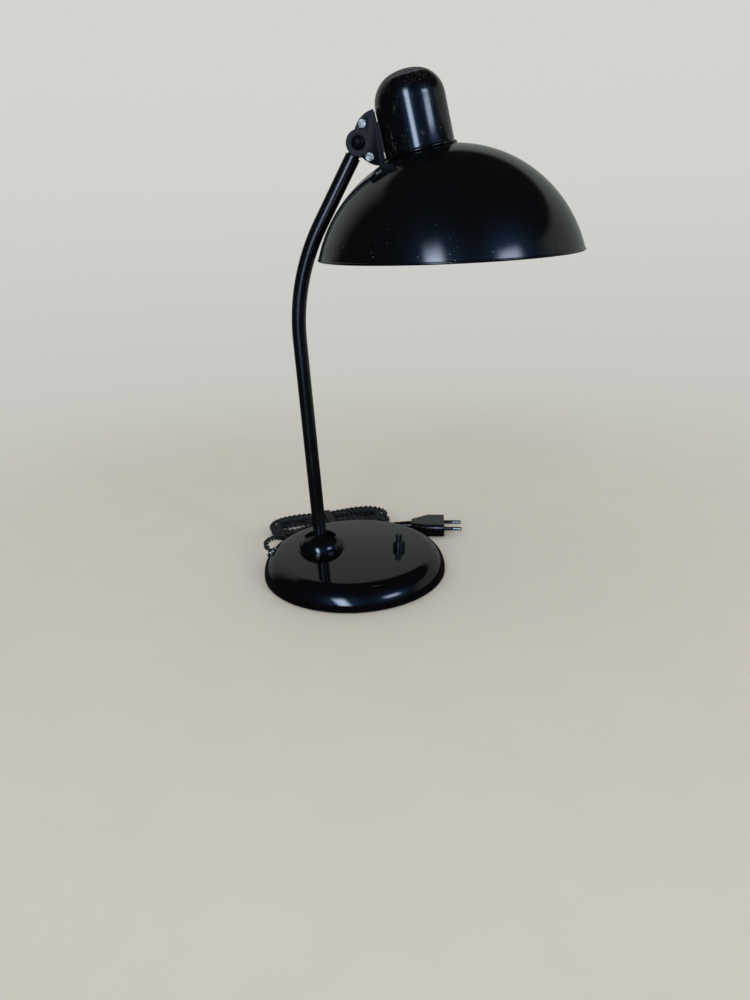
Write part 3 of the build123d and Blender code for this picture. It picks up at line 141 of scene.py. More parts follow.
# ------------------------------------------------------------------ the stage
# The camera of the photograph, in metres, and its lens for a frame 36 mm high.
CAMERA = {
    "at": (0.07812, -0.67123, 0.33705), "right": (0.99702, 0.07085, -0.0305),
    "up": (0.00253, 0.36511, 0.93096), "forward": (-0.0771, 0.92826, -0.36385), "lens": 27.04,
}
LIGHT_AIM = (0.05, 0.0, 0.2)
FLOOR_HALF = 3.0
FLOOR_FADE = (0.22, 0.95)   # the floor turns into the backdrop between these distances
# Two tall soft lights where the windows are: azimuth and elevation in degrees, distance, width
# and height in metres, colour. They light the lamp, and the glows below are their mirror images.
WINDOWS = (
    ("window_front", -101.0, 24.0, 2.6, 0.42, 1.9, "#dfe9ff"),
    ("window_side", -42.0, 22.0, 2.6, 0.30, 1.3, "#e4ecff"),
)
# Soft windows and the glow round them, as the gloss sees them: azimuth, elevation, lean,
# half width, half height, steepness of the edge, colour, brightness.
GLOWS = (
    (-101.0, 17.0, 16.0, 7.0, 20.0, 4.0, "#d3e3fa", 14.0),
    (-38.0, 24.0, 0.0, 9.5, 7.0, 4.0, "#d3e3fa", 9.0),
    (-101.0, 17.0, 16.0, 17.0, 25.0, 2.0, "#4f80bd", 2.6),
    (-38.0, 24.0, 0.0, 18.0, 17.0, 2.0, "#4f80bd", 2.2),
    (-74.0, 10.0, 0.0, 52.0, 24.0, 2.0, "#2c4f7c", 0.55),
)


def rgb(code):
    """Linear colour of an sRGB hex value."""
    parts = [int(code[i:i + 2], 16) / 255 for i in (1, 3, 5)]
    return tuple(c / 12.92 if c <= 0.04045 else ((c + 0.055) / 1.055) ** 2.4 for c in parts)


# ================================================================== settings
class LampEnamelSettings(bpy.types.PropertyGroup):
    """Black stove enamel."""

    colour: FloatVectorProperty(
        name="Enamel", description="Colour of the stove enamel", subtype="COLOR",
        size=3, min=0, max=1, default=rgb("#060607"),
    )
    gloss: FloatProperty(
        name="Base roughness", description="Roughness of the polished base", default=0.06,
        min=0, max=1,
    )
    shade_gloss: FloatProperty(
        name="Shade roughness", description="Roughness of the handled shade and cap",
        default=0.1, min=0, max=1,
    )
    chip: FloatVectorProperty(
        name="Chips", description="Colour of primer in the small chips", subtype="COLOR",
        size=3, min=0, max=1, default=rgb("#8d8b86"),
    )


class LampCordSettings(bpy.types.PropertyGroup):
    """Twisted cloth cord."""

    thickness: FloatProperty(
        name="Thickness", description="Diameter over both strands", default=5.7 * MM,
        unit="LENGTH", min=0.002, max=0.02,
    )
    lay: FloatProperty(
        name="Lay", description="Length of one full twist of the strands", default=11.2 * MM,
        unit="LENGTH", min=0.004, max=0.05,
    )
    colour: FloatVectorProperty(
        name="Braid", description="Colour of the braid", subtype="COLOR",
        size=3, min=0, max=1, default=rgb("#0c0b09"),
    )


class LampStageSettings(bpy.types.PropertyGroup):
    """Floor, backdrop and light."""

    wall: FloatVectorProperty(
        name="Backdrop", description="Colour behind the lamp", subtype="COLOR",
        size=3, min=0, max=1, default=rgb("#d4d3d0"),
    )
    wall_low: FloatVectorProperty(
        name="Backdrop, low", description="Colour of the backdrop near the floor", subtype="COLOR",
        size=3, min=0, max=1, default=rgb("#c2c3bb"),
    )
    floor: FloatVectorProperty(
        name="Floor", description="Colour of the surface under the lamp", subtype="COLOR",
        size=3, min=0, max=1, default=rgb("#c9c0b0"),
    )
    window: FloatProperty(
        name="Window light", description="Power of the tall soft light in front", default=26.0,
        min=0, max=500,
    )
    side: FloatProperty(
        name="Side light", description="Power of the tall soft light at the right", default=16.0,
        min=0, max=500,
    )


# ================================================================== small helpers
# How Map Range and Mix nodes are set here: Mix takes its factor at 0 and its colours at 6 and 7.
SMOOTH = {"interpolation_type": "SMOOTHSTEP"}
COLOURS = {"out": 2, "data_type": "RGBA"}


def node(tree, kind, inputs=None, out=0, **settings):
    """Adds a shader node; inputs maps its inputs to sockets or values. Gives one output."""
    made = tree.nodes.new("ShaderNode" + kind)
    for name, value in settings.items():
        setattr(made, name, value)
    for name, value in (inputs or {}).items():
        if isinstance(value, bpy.types.NodeSocket):
            tree.links.new(value, made.inputs[name])
        elif made.inputs[name].type == "RGBA":
            made.inputs[name].default_value = (*value[:3], 1.0)
        else:
            made.inputs[name].default_value = value
    return made.outputs[out]


def material(name, colour, roughness, metallic=0.0, **inputs):
    """A new material with its shader set; returns (material, tree, shader)."""
    made = bpy.data.materials.new(name)
    made.use_nodes = True
    tree = made.node_tree
    shader = tree.nodes["Principled BSDF"]
    shader.inputs["Base Color"].default_value = (*colour, 1.0)
    shader.inputs["Roughness"].default_value = roughness
    shader.inputs["Metallic"].default_value = metallic
    for key, value in inputs.items():
        shader.inputs[key.replace("_", " ")].default_value = value
    return made, tree, shader


def connect(shader, **sockets):
    """Links sockets to a shader's inputs, whose names have _ for a space."""
    for name, socket in sockets.items():
        shader.id_data.links.new(socket, shader.inputs[name.replace("_", " ")])


def noise(tree, size_mm, detail=3.0, coords=None, stretch=None):
    """Noise whose grain is about size_mm across, on object coordinates."""
    if coords is None:
        coords = node(tree, "TexCoord", out="Object")
    if stretch:
        coords = node(tree, "Mapping", {"Vector": coords, "Scale": stretch})
    return node(tree, "TexNoise", {
        "Vector": coords, "Scale": 1.0 / (size_mm * MM), "Detail": detail,
    })


def specks(tree, spacing_mm, size_mm, keep):
    """Scattered round specks: 1 on a speck; keep is the share of cells that hold one."""
    coords = node(tree, "TexCoord", out="Object")
    away = node(tree, "TexVoronoi", {"Vector": coords, "Scale": 1.0 / (spacing_mm * MM)})
    near = node(tree, "MapRange", {
        0: away, 1: size_mm / spacing_mm, 2: size_mm * 0.6 / spacing_mm,
    }, **SMOOTH)
    pick = node(tree, "SeparateColor", {"Color": away.node.outputs["Color"]})
    chosen = node(tree, "Math", {0: pick, 1: keep}, operation="LESS_THAN")
    return node(tree, "Math", {0: near, 1: chosen}, operation="MULTIPLY")


def relief(tree, shader, size_mm, depth_mm, detail=3.0, strength=1.0, stretch=None):
    """Fine relief of a surface: grains about size_mm across and depth_mm deep."""
    connect(shader, Normal=node(tree, "Bump", {
        "Height": noise(tree, size_mm, detail, stretch=stretch), "Distance": depth_mm * MM,
        "Strength": strength,
    }))


def along_axis(tree):
    """Distance of a point from the shade's centre along the cap's axis, in metres."""
    coords = node(tree, "TexCoord", out="Object")
    shifted = node(tree, "VectorMath", {0: coords, 1: HEAD.translation}, operation="SUBTRACT")
    return node(tree, "VectorMath", {0: shifted, 1: CAP_AXIS}, "Value", operation="DOT_PRODUCT")


def dress(finish, *names):
    """Gives CAD nodes a material."""
    for name in names:
        data = frame["nodes"][name].data
        data.materials.clear()
        data.materials.append(finish)


def mesh_piece(name, points, faces, finish=None, sharp=180.0):
    """A new smooth mesh object from points in metres, with edges sharper than an angle kept."""
    mesh = bpy.data.meshes.new(name)
    mesh.from_pydata([tuple(p) for p in points], [], faces)
    mesh.polygons.foreach_set("use_smooth", [True] * len(mesh.polygons))
    mesh.update()
    if sharp < 180.0:
        mesh.set_sharp_from_angle(angle=math.radians(sharp))
    made = bpy.data.objects.new(name, mesh)
    bpy.context.scene.collection.objects.link(made)
    if finish:
        mesh.materials.append(finish)
    return made


def skin(rings):
    """Points and faces of a skin over rings of points; a ring of one point is a pole."""
    points, faces, starts = [], [], []
    for ring in rings:
        starts.append(len(points))
        points += ring
    if len(rings[0]) > 1 and (rings[0][0] - rings[-1][0]).length < 1e-9:
        del points[starts[-1]:]
        starts[-1] = 0
    for index in range(len(rings) - 1):
        low, high = starts[index], starts[index + 1]
        low_count, high_count = len(rings[index]), len(rings[index + 1])
        for step in range(max(low_count, high_count)):
            ahead = (step + 1) % max(low_count, high_count)
            if low_count == 1:
                faces.append((low, high + ahead, high + step))
            elif high_count == 1:
                faces.append((low + step, low + ahead, high))
            else:
                faces.append((low + step, low + ahead, high + ahead, high + step))
    return points, faces


def stand_for(piece, name):
    """Lets a piece stand for a CAD node: it joins the node's body, and the node is hidden."""
    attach(piece, BODY_OF[name])
    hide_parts(name)


def rounded(finish, edge_mm, *names, sharp=28.0):
    """Smooth copies of CAD nodes, with their sharp edges rounded; each copy stands for its node."""
    for name in names:
        work = bmesh.new()
        work.from_mesh(frame["nodes"][name].data)
        bmesh.ops.remove_doubles(work, verts=work.verts, dist=1e-6)
        bmesh.ops.dissolve_limit(
            work, angle_limit=math.radians(0.5), verts=work.verts, edges=work.edges,
        )
        if edge_mm:
            corners = [
                e for e in work.edges
                if len(e.link_faces) == 2 and e.calc_face_angle() > math.radians(sharp)
            ]
            bmesh.ops.bevel(
                work, geom=corners, offset=edge_mm * MM, segments=2, profile=0.5,
                affect="EDGES", clamp_overlap=True,
            )
        mesh = bpy.data.meshes.new(name + "_finished")
        work.to_mesh(mesh)
        work.free()
        mesh.polygons.foreach_set("use_smooth", [True] * len(mesh.polygons))
        mesh.set_sharp_from_angle(angle=math.radians(sharp))
        mesh.materials.append(finish)
        copy = bpy.data.objects.new(name + "_finished", mesh)
        bpy.context.scene.collection.objects.link(copy)
        # Large faces keep their flat shading next to their rounded edges.
        flat = copy.modifiers.new("flat", "WEIGHTED_NORMAL")
        flat.keep_sharp = True
        bake(copy, sharp)
        stand_for(copy, name)


def arc(centre, radius, start, end, count):
    """Points of an arc in the plane of an outline: (distance from the axis, height)."""
    points = []
    for step in range(count + 1):
        angle = math.radians(start + (end - start) * step / count)
        points.append((centre[0] + radius * math.cos(angle), centre[1] + radius * math.sin(angle)))
    return points


def dome_outline(radius, shoulder, edge, height, foot):
    """Outline of a dome from its foot to its top, in millimetres."""
    reach, lift = radius - shoulder, height - edge
    crown = (reach**2 + lift**2 - shoulder**2) / (2 * (lift - shoulder))
    join = math.degrees(math.atan2(edge - (height - crown), reach))
    side = arc((reach, edge), shoulder, 0.0, join, 24)
    top = arc((0.0, height - crown), crown, join, 90.0, 40)
    top[-1] = (0.0, height)
    return [(radius, foot)] + side + top[1:]


def lathe(name, outline, place, finish, segments=192, sharp=30.0):
    """Turned piece: an outline in millimetres revolved about a place's Z axis."""
    rings = []
    for radius, height in outline:
        if radius < 1e-6:
            rings.append([place @ Vector((0, 0, height * MM))])
            continue
        ring = []
        for step in range(segments):
            angle = 2 * math.pi * step / segments
            point = Vector((radius * math.cos(angle), radius * math.sin(angle), height))
            ring.append(place @ (point * MM))
        rings.append(ring)
    return mesh_piece(name, *skin(rings), finish, sharp)


def cut(piece, place, radius, low, high, half_length=0.0):
    """Cuts a round hole or a slot along X through a piece, in millimetres about a place."""
    outline = []
    for end, start in ((1, -90.0), (-1, 90.0)):
        outline += arc((end * half_length, 0.0), radius, start, start + 180.0, 32)
    if not half_length:
        outline = arc((0.0, 0.0), radius, 0.0, 360.0, 64)[:-1]
    count = len(outline)
    points = [place @ (Vector((x, y, z)) * MM) for z in (low, high) for x, y in outline]
    faces = [tuple(reversed(range(count))), tuple(range(count, 2 * count))]
    faces += [(i, (i + 1) % count, count + (i + 1) % count, count + i) for i in range(count)]
    cutter = mesh_piece("cutter", points, faces)
    hole = piece.modifiers.new("hole", "BOOLEAN")
    hole.operation = "DIFFERENCE"
    hole.solver = "EXACT"
    hole.object = cutter
    bake(piece)
    bpy.data.objects.remove(cutter)


def bake(piece, sharp=30.0):
    """Applies a piece's modifiers to its mesh."""
    ready = piece.evaluated_get(bpy.context.evaluated_depsgraph_get())
    mesh = bpy.data.meshes.new_from_object(ready)
    piece.modifiers.clear()
    piece.data = mesh
    mesh.set_sharp_from_angle(angle=math.radians(sharp))


# ================================================================== enamel
def enamel(name, roughness, wear_low=None):
    """Black stove enamel: deep gloss, faint orange peel, dust specks and pin chips."""
    look = bpy.context.scene.lamp_enamel
    made, tree, shader = material(name, look.colour, roughness)
    # Handling leaves the gloss a little uneven over a few centimetres.
    rough = node(tree, "MapRange", {
        0: noise(tree, 35.0), 1: 0.3, 2: 0.7, 3: roughness * 0.8, 4: roughness * 1.25,
    }, **SMOOTH)
    # Dust specks 0.3 mm across.
    chips = specks(tree, 5.0, 0.16, 0.22)
    if wear_low is not None:
        # Chips 0.8 mm across gather in patches near the edge that gets knocked.
        height = node(tree, "SeparateXYZ", {0: node(tree, "TexCoord", out="Object")}, "Z")
        knocks = specks(tree, 3.0, 0.42, 0.55)
        for value, low, high in (
                (height, wear_low + 0.022, wear_low + 0.002), (noise(tree, 9.0), 0.50, 0.62)):
            share = node(tree, "MapRange", {0: value, 1: low, 2: high}, **SMOOTH)
            knocks = node(tree, "Math", {0: knocks, 1: share}, operation="MULTIPLY")
        chips = node(tree, "Math", {0: chips, 1: knocks}, operation="MAXIMUM")
    pale = node(tree, "Math", {0: chips, 1: 0.85}, operation="MULTIPLY")
    matt = node(tree, "Math", {0: chips, 1: 0.6}, operation="MULTIPLY")
    connect(
        shader, Base_Color=node(tree, "Mix", {0: pale, 6: look.colour, 7: look.chip}, **COLOURS),
        Roughness=node(tree, "Math", {0: rough, 1: matt}, operation="MAXIMUM"),
    )
    relief(tree, shader, 1.8, 0.004, 1.0, 0.35)
    return made


def cap_enamel():
    """Enamel of the cap: fine handling scratches, dust and a rubbed crown, matt and mottled."""
    look = bpy.context.scene.lamp_enamel
    made, tree, shader = material("cap_stove_enamel_rubbed", look.colour, look.shade_gloss)
    crown = node(tree, "MapRange", {
        0: along_axis(tree), 1: CAP_CROWN, 2: CAP_CROWN + CROWN_FADE,
    }, **SMOOTH)
    grain = noise(tree, 1.1, 4.0)
    mottle = node(tree, "MapRange", {0: grain, 1: 0.42, 2: 0.6, 3: 0.12, 4: 1.0}, **SMOOTH)
    worn = node(tree, "Math", {0: crown, 1: mottle}, operation="MULTIPLY")
    marks = [(worn, 0.34), (specks(tree, 4.0, 0.18, 0.25), 0.5)]
    # Fine crossing hair scratches, 0.1 mm wide, drawn 0.25 mm wide to show.
    for turn, keep in ((0.35, 0.5), (-0.5, 0.62)):
        leant = node(tree, "Mapping", {
            "Vector": node(tree, "TexCoord", out="Object"), "Rotation": (0.0, turn, 0.0),
            "Scale": (1.0, 1.0, 0.08),
        })
        off = node(tree, "Math", {0: noise(tree, 2.6, 2.0, leant), 1: 0.5}, operation="SUBTRACT")
        off = node(tree, "Math", {0: off}, operation="ABSOLUTE")
        line = node(tree, "MapRange", {0: off, 1: 0.006, 2: 0.0}, **SMOOTH)
        patch = node(tree, "MapRange", {
            0: noise(tree, 14.0, 1.0), 1: keep, 2: keep + 0.06,
        }, **SMOOTH)
        marks.append((node(tree, "Math", {0: line, 1: patch}, operation="MULTIPLY"), 0.32))
    pale = 0.0
    for mark, strength in marks:
        mark = node(tree, "Math", {0: mark, 1: strength}, operation="MULTIPLY")
        pale = node(tree, "Math", {0: pale, 1: mark}, operation="MAXIMUM")
    matt = node(tree, "Math", {0: crown, 1: 0.5}, operation="MULTIPLY")
    height = node(tree, "Math", {0: crown, 1: grain}, operation="MULTIPLY")
    connect(
        shader, Base_Color=node(tree, "Mix", {0: pale, 6: look.colour, 7: look.chip}, **COLOURS),
        Roughness=node(tree, "Math", {0: matt, 1: look.shade_gloss}, operation="MAXIMUM"),
        Normal=node(tree, "Bump", {"Height": height, "Distance": 0.15 * MM, "Strength": 0.6}),
    )
    return made


def wall(outer, inner):
    """Closed outline of a thin wall, from the inner top round the foot to the outer top."""
    return list(reversed(inner)) + outer


class LAMP_OT_enamel(bpy.types.Operator):
    """Black stove enamel on base, joint cover, arm, cap, collar and shade"""

    bl_idname = "lamp.enamel"
    bl_label = "Stove enamel"

    def execute(self, context):
        look = context.scene.lamp_enamel
        polished = enamel("stove_enamel_polished", look.gloss)
        handled = enamel("stove_enamel_handled", look.shade_gloss, SHADE_RIM_Z)
        self.base(polished)
        self.cover(polished)
        self.tube(enamel("stove_enamel_tube", 2.2 * look.shade_gloss))
        self.cap(cap_enamel())
        self.shade(handled)
        self.collar(handled)
        return {"FINISHED"}

    def base(self, finish):
        """Pressed dome of the base with its holes."""
        radius, shoulder, edge, height, foot, thick = BASE.values()
        outer = dome_outline(radius, shoulder, edge, height, foot)
        inner = dome_outline(radius - thick, shoulder - thick, edge, height - thick, foot)
        shell = lathe("base_dome", wall(outer, inner), Matrix.Identity(4), finish, 256)
        cut(shell, JOINT, HOLES["joint"], -10.0, 10.0)
        cut(shell, turned((SWITCH_X, 0.0, 0.0)), HOLES["switch"], 15.0, 35.0)
        cut(shell, grommet_place(), HOLES["cord"], -6.0, 6.0)
        stand_for(shell, "base_shell")

    def cover(self, finish):
        """Slotted cover over the arm's joint."""
        radius, shoulder, edge, height, foot, thick = COVER.values()
        outer = dome_outline(radius, shoulder, edge, height, foot)[1:]
        inner = dome_outline(radius - thick, shoulder - thick, edge, height - thick, foot)
        reach, bend = COVER_FLANGE.values()
        flange = [(reach, foot), (reach, edge - bend)]
        flange += arc((reach - bend, edge - bend), bend, 0.0, 90.0, 4)
        cover = lathe("joint_dome", wall(flange + outer, inner), JOINT, finish, 128)
        cut(cover, JOINT, SLOT["half_width"], 1.1, 20.0, SLOT["end"] - SLOT["half_width"])
        stand_for(cover, "joint_cover")

    def tube(self, finish):
        """Bent tube of the arm."""
        radius, thick, lower, bend, bend_radius = TUBE.values()
        up = JOINT.to_3x3() @ Vector((0, 0, 1))
        out = Matrix.Rotation(math.radians(bend), 3, "Y") @ up
        corner = Vector(JOINT_AT) + up * lower
        reach = bend_radius * math.tan(math.radians(bend / 2))
        stations = [(Vector(PIVOT_AT) + up * TUBE_STARTS, up)]
        side = Matrix.Rotation(math.radians(90.0), 3, "Y") @ up
        centre = corner - up * reach + side * bend_radius
        for step in range(25):
            turn = Matrix.Rotation(math.radians(bend * step / 24), 3, "Y")
            stations.append((centre - turn @ side * bend_radius, turn @ up))
        stations.append((Vector(HINGE_AT) - out * TUBE_STOPS, out))
        rings = []
        for size, order in ((radius, stations), (radius - thick, list(reversed(stations)))):
            for point, way in order:
                across = way.cross(Vector((0, 1, 0)))
                rings.append([
                    (point + (across * math.cos(a) + way.cross(across) * math.sin(a)) * size) * MM
                    for a in (2 * math.pi * step / 64 for step in range(64))
                ])
        rings.append(rings[0])
        stand_for(mesh_piece("arm_bent_tube", *skin(rings), finish, 30.0), "arm_tube")

    def cap(self, finish):
        """Spun cap with its rolled lip."""
        radius, shoulder, body, dome, thick = CAP.values()
        reach, flange = CAP_FLANGE.values()
        edge, top = LIP_Z + body, LIP_Z + body + dome
        outer = dome_outline(radius, shoulder, edge, top, LIP_Z)[1:]
        inner = dome_outline(radius - thick, shoulder - thick, edge, top - thick, LIP_Z)
        half = flange / 2
        low = math.sqrt(SHADE["radius"]**2 - (reach - half)**2) + NECK_HEIGHT
        lip = arc((reach - half, low + half), half, -90.0, 80.0, 12)
        # The flange runs into the wall with a small fillet.
        lip += [(radius + out, LIP_Z + flange + up) for out, up in CAP_FILLET]
        cap = lathe("spun_cap", wall(lip + outer, inner), HEAD, finish, 160)
        stand_for(cap, "cap")

    def shade(self, finish):
        """Half-ball shade with a rolled rim."""
        radius, thick, low, bead = SHADE.values()
        middle = (math.sqrt(radius**2 - low**2) - thick / 2, low)
        far, lift = math.hypot(*middle), math.degrees(math.atan2(middle[1], middle[0]))
        sides, ends = [], []
        for size in (radius, radius - thick):
            step = math.degrees(math.acos((size**2 + far**2 - bead**2) / (2 * size * far)))
            curve = arc((0.0, 0.0), size, lift + step, 90.0, 72)
            curve[-1] = (0.0, size)
            sides.append(curve)
            ends.append(math.degrees(math.atan2(curve[0][1] - middle[1], curve[0][0] - middle[0])))
        rim = arc(middle, bead, ends[1], ends[0] + 360.0, 20)[1:-1]
        shade = lathe("spun_shade", wall(rim + sides[0], sides[1]), RIM, finish, 256)
        cut(shade, HEAD, HOLES["neck"], radius - 10.0, radius + 10.0)
        stand_for(shade, "shade")

    def collar(self, finish):
        """Collar between shade and cap."""
        bore, (depth, clearance) = HOLES["neck"], COLLAR.values()
        reach, top = CAP["radius"] - CAP["wall"] - clearance, LIP_Z + depth
        ball = SHADE["radius"] + clearance
        seat = [(r, math.sqrt(ball**2 - r**2)) for r in (bore, 22.0, 24.6, reach)]
        outline = seat + [(reach, top), (bore, top), seat[0]]
        stand_for(lathe("neck_ring", outline, HEAD, finish, 128), "neck_collar")


# ================================================================== metals
def brushed(name, colour, roughness, grain_mm):
    """Turned or drawn metal: fine lines along one way and a little soil."""
    made, tree, shader = material(name, rgb(colour), roughness, 1.0)
    soil = noise(tree, 4.0)
    soiled = node(tree, "MapRange", {0: soil, 1: 0.5, 2: 0.8}, **SMOOTH)
    dark = tuple(c * 0.6 for c in rgb(colour))
    connect(
        shader, Base_Color=node(tree, "Mix", {0: soiled, 6: rgb(colour), 7: dark}, **COLOURS),
        Roughness=node(tree, "MapRange", {
            0: soil, 1: 0.35, 2: 0.75, 3: roughness * 0.8, 4: roughness * 1.5,
        }, **SMOOTH),
    )
    relief(tree, shader, grain_mm, 0.003, 2.0, stretch=(1.0, 1.0, 0.12))
    return made


class LAMP_OT_metal(bpy.types.Operator):
    """Bracket paint, nickel screws, zinc fittings, brass and iron"""

    bl_idname = "lamp.metal"
    bl_label = "Metal fittings"

    def execute(self, context):
        # Bracket: semi-gloss paint over cast metal, softer than the enamel.
        paint, tree, shader = material(
            "semigloss_paint_on_casting", rgb("#07080d"), 0.3, Specular_IOR_Level=0.07,
        )
        chips = specks(tree, 3.5, 0.2, 0.3)
        connect(shader, Base_Color=node(tree, "Mix", {
            0: chips, 6: rgb("#07080d"), 7: rgb("#6f6d69"),
        }, **COLOURS))
        relief(tree, shader, 0.9, 0.01, 2.0, 0.5)
        rounded(paint, 0.35, "bracket_front", "bracket_rear", "cap_saddle", "arm_knuckle")
        rounded(paint, 0.2, "hinge_bolt")

        # Nickel plate: warm and bright, a little worn, with turning lines 0.25 mm apart.
        nickel = brushed("nickel_plate_worn", "#c9c5bb", 0.2, 0.25)
        rounded(nickel, 0.1, "hinge_washer", "hinge_nut", "joint_screws", "plug_pins")
        # The same plate gone grey and dull, on the two bracket screws.
        dull = brushed("nickel_plate_tarnished", "#6f6e69", 0.38, 0.25)
        rounded(dull, 0.15, "bracket_screws")
        rounded(nickel, 0.0, "cord_grommet")
        dress(nickel, "grommet_nut")

        # Zinc plate: cool grey with a soft bloom, on the steel that is out of sight.
        zinc = brushed("zinc_plated_steel", "#a7a9a8", 0.34, 0.3)
        rounded(zinc, 0.12, "joint_fork", "arm_foot", "pivot_bolt", "bracket_nuts",
                "bracket_spacers")
        dress(zinc, "shell_posts", "base_plate", "base_screws", "joint_clamp", "pivot_nut",
              "saddle_screws", "holder_plate", "cord_clip", "entry_screws", "switch_spring")

        # Turned brass: yellow and fairly bright, with lines 0.2 mm apart.
        brass = brushed("turned_brass", "#b99a5b", 0.26, 0.2)
        dress(brass, "joint_washer", "holder_nipple", "holder_nut", "holder_screw_shell",
              "holder_contact")

        # Sand-cast iron: dark and matt, pitted about a millimetre across.
        iron, tree, shader = material("sand_cast_iron", rgb("#3a3937"), 0.75, 0.6)
        relief(tree, shader, 1.2, 0.25, 4.0)
        dress(iron, "base_weight")

        # Rolled aluminium of the bulb's cap: bright, with fine turning lines.
        rolled = brushed("rolled_aluminium", "#c4c5c6", 0.3, 0.2)
        rounded(rolled, 0.0, "bulb_cap")
        return {"FINISHED"}


# ================================================================== plastics, pad and bulb
class LAMP_OT_plastic(bpy.types.Operator):
    """Bakelite, moulded plug, rubber flex, pad and ceramic insert"""

    bl_idname = "lamp.plastic"
    bl_label = "Plastics and pad"

    def execute(self, context):
        # Bakelite: hard gloss with a faint brown mottle.
        bakelite, tree, shader = material("pressed_bakelite", rgb("#120d0a"), 0.18)
        mottle = node(tree, "MapRange", {0: noise(tree, 6.0), 1: 0.4, 2: 0.7}, **SMOOTH)
        connect(shader, Base_Color=node(tree, "Mix", {
            0: mottle, 6: rgb("#0d0a09"), 7: rgb("#1f1510"),
        }, **COLOURS))
        rounded(bakelite, 0.3, "lampholder_body", "shade_ring")
        dress(bakelite, "switch_body", "terminal_block")

        # Switch and plug: black moulded plastic, slightly polished by fingers.
        moulded, tree, shader = material("moulded_black_plastic", rgb("#0a0a0b"), 0.24)
        connect(shader, Roughness=node(tree, "MapRange", {
            0: noise(tree, 8.0), 1: 0.3, 2: 0.7, 3: 0.18, 4: 0.32,
        }, **SMOOTH))
        relief(tree, shader, 0.5, 0.004, 2.0)
        rounded(moulded, 0.2, "switch_collar", "switch_button", "plug_relief", "pin_sleeves")
        rounded(moulded, 0.8, "plug_body")

        # Rubber flex: matt, nearly black and faintly uneven.
        flex, tree, shader = material("rubber_flex", rgb("#161515"), 0.55)
        relief(tree, shader, 0.8, 0.02)
        rounded(flex, 0.0, "arm_flex", "head_flex")
        dress(flex, "switch_wire")

        # Pressed wool felt: matt with a soft nap.
        felt, tree, shader = material("pressed_felt", rgb("#1d2620"), 0.95, Sheen_Weight=0.4)
        nap = noise(tree, 0.7, 5.0)
        connect(
            shader, Normal=node(tree, "Bump", {"Height": nap, "Distance": 0.15 * MM}),
            Base_Color=node(tree, "Mix", {
                0: nap, 6: rgb("#141b17"), 7: rgb("#2a342d"),
            }, **COLOURS),
        )
        rounded(felt, 0.3, "base_pad")

        # Glazed ceramic: cream, half gloss, with slight waves in the glaze.
        ceramic, tree, shader = material("glazed_ceramic_insert", rgb("#d9d4c6"), 0.35)
        relief(tree, shader, 1.5, 0.02)
        dress(ceramic, "holder_insert")
        return {"FINISHED"}


class LAMP_OT_bulb(bpy.types.Operator):
    """Frosted bulb"""

    bl_idname = "lamp.bulb"
    bl_label = "Bulb"

    def execute(self, context):
        # Acid-frosted glass: pale, soft and a little see-through.
        glass, tree, shader = material(
            "frosted_bulb_glass", rgb("#e9e8e2"), 0.35, Transmission_Weight=0.35, IOR=1.5,
        )
        connect(shader, Roughness=node(tree, "MapRange", {
            0: noise(tree, 5.0), 1: 0.3, 2: 0.7, 3: 0.3, 4: 0.42,
        }, **SMOOTH))
        relief(tree, shader, 0.6, 0.006, 2.0)
        rounded(glass, 0.0, "bulb_glass")
        return {"FINISHED"}


# ================================================================== cord
def hank_place(along, across, height):
    """A point of the hank, in millimetres: along its curved middle, across it and up."""
    angle = math.radians(HANK_AZIMUTH) - along / HANK_CENTRE
    radius = HANK_CENTRE + across
    return Vector((radius * math.cos(angle), radius * math.sin(angle), height))


def hank_points():
    """Control points of the hank's turns: four levels inwards, then four out on top."""
    levels = list(range(HANK_LEVELS, -1, -1)) + list(range(1, HANK_LEVELS + 1))
    points = []
    steps = (-1.0, -0.66, -0.33, 0.0, 0.33, 0.66, 1.0)
    for index, level in enumerate(levels):
        way = 1 if index % 2 == 0 else -1
        side = -way
        first = HANK_LOW if index <= HANK_LEVELS else HANK_LOW + HANK_LAYER
        last = HANK_LOW if index < HANK_LEVELS else HANK_LOW + HANK_LAYER
        wide = side * (HANK_FOLD + level * HANK_STEP / 2)
        waist = side * HANK_WAIST_STEP / 2 * (level + (1 if side < 0 else 0)) + HANK_WAIST_SHIFT
        for step in steps:
            spread = (1 - math.cos(math.pi * abs(step))) / 2
            rise = (1 + math.sin(math.pi / 2 * step)) / 2
            across = waist + (wide - waist) * spread
            height = first + (last - first) * rise
            points.append(hank_place(way * step * HANK_HALF_RUN, across, height))
        if index + 1 < len(levels):
            next_wide = -side * (HANK_FOLD + levels[index + 1] * HANK_STEP / 2)
            middle, reach = (wide + next_wide) / 2, abs(wide - next_wide) / 2
            for turn in (30, 60, 90, 120, 150):
                angle = math.radians(turn)
                along = way * (HANK_HALF_RUN + reach * math.sin(angle))
                points.append(hank_place(along, middle + side * reach * math.cos(angle), last))
    return points


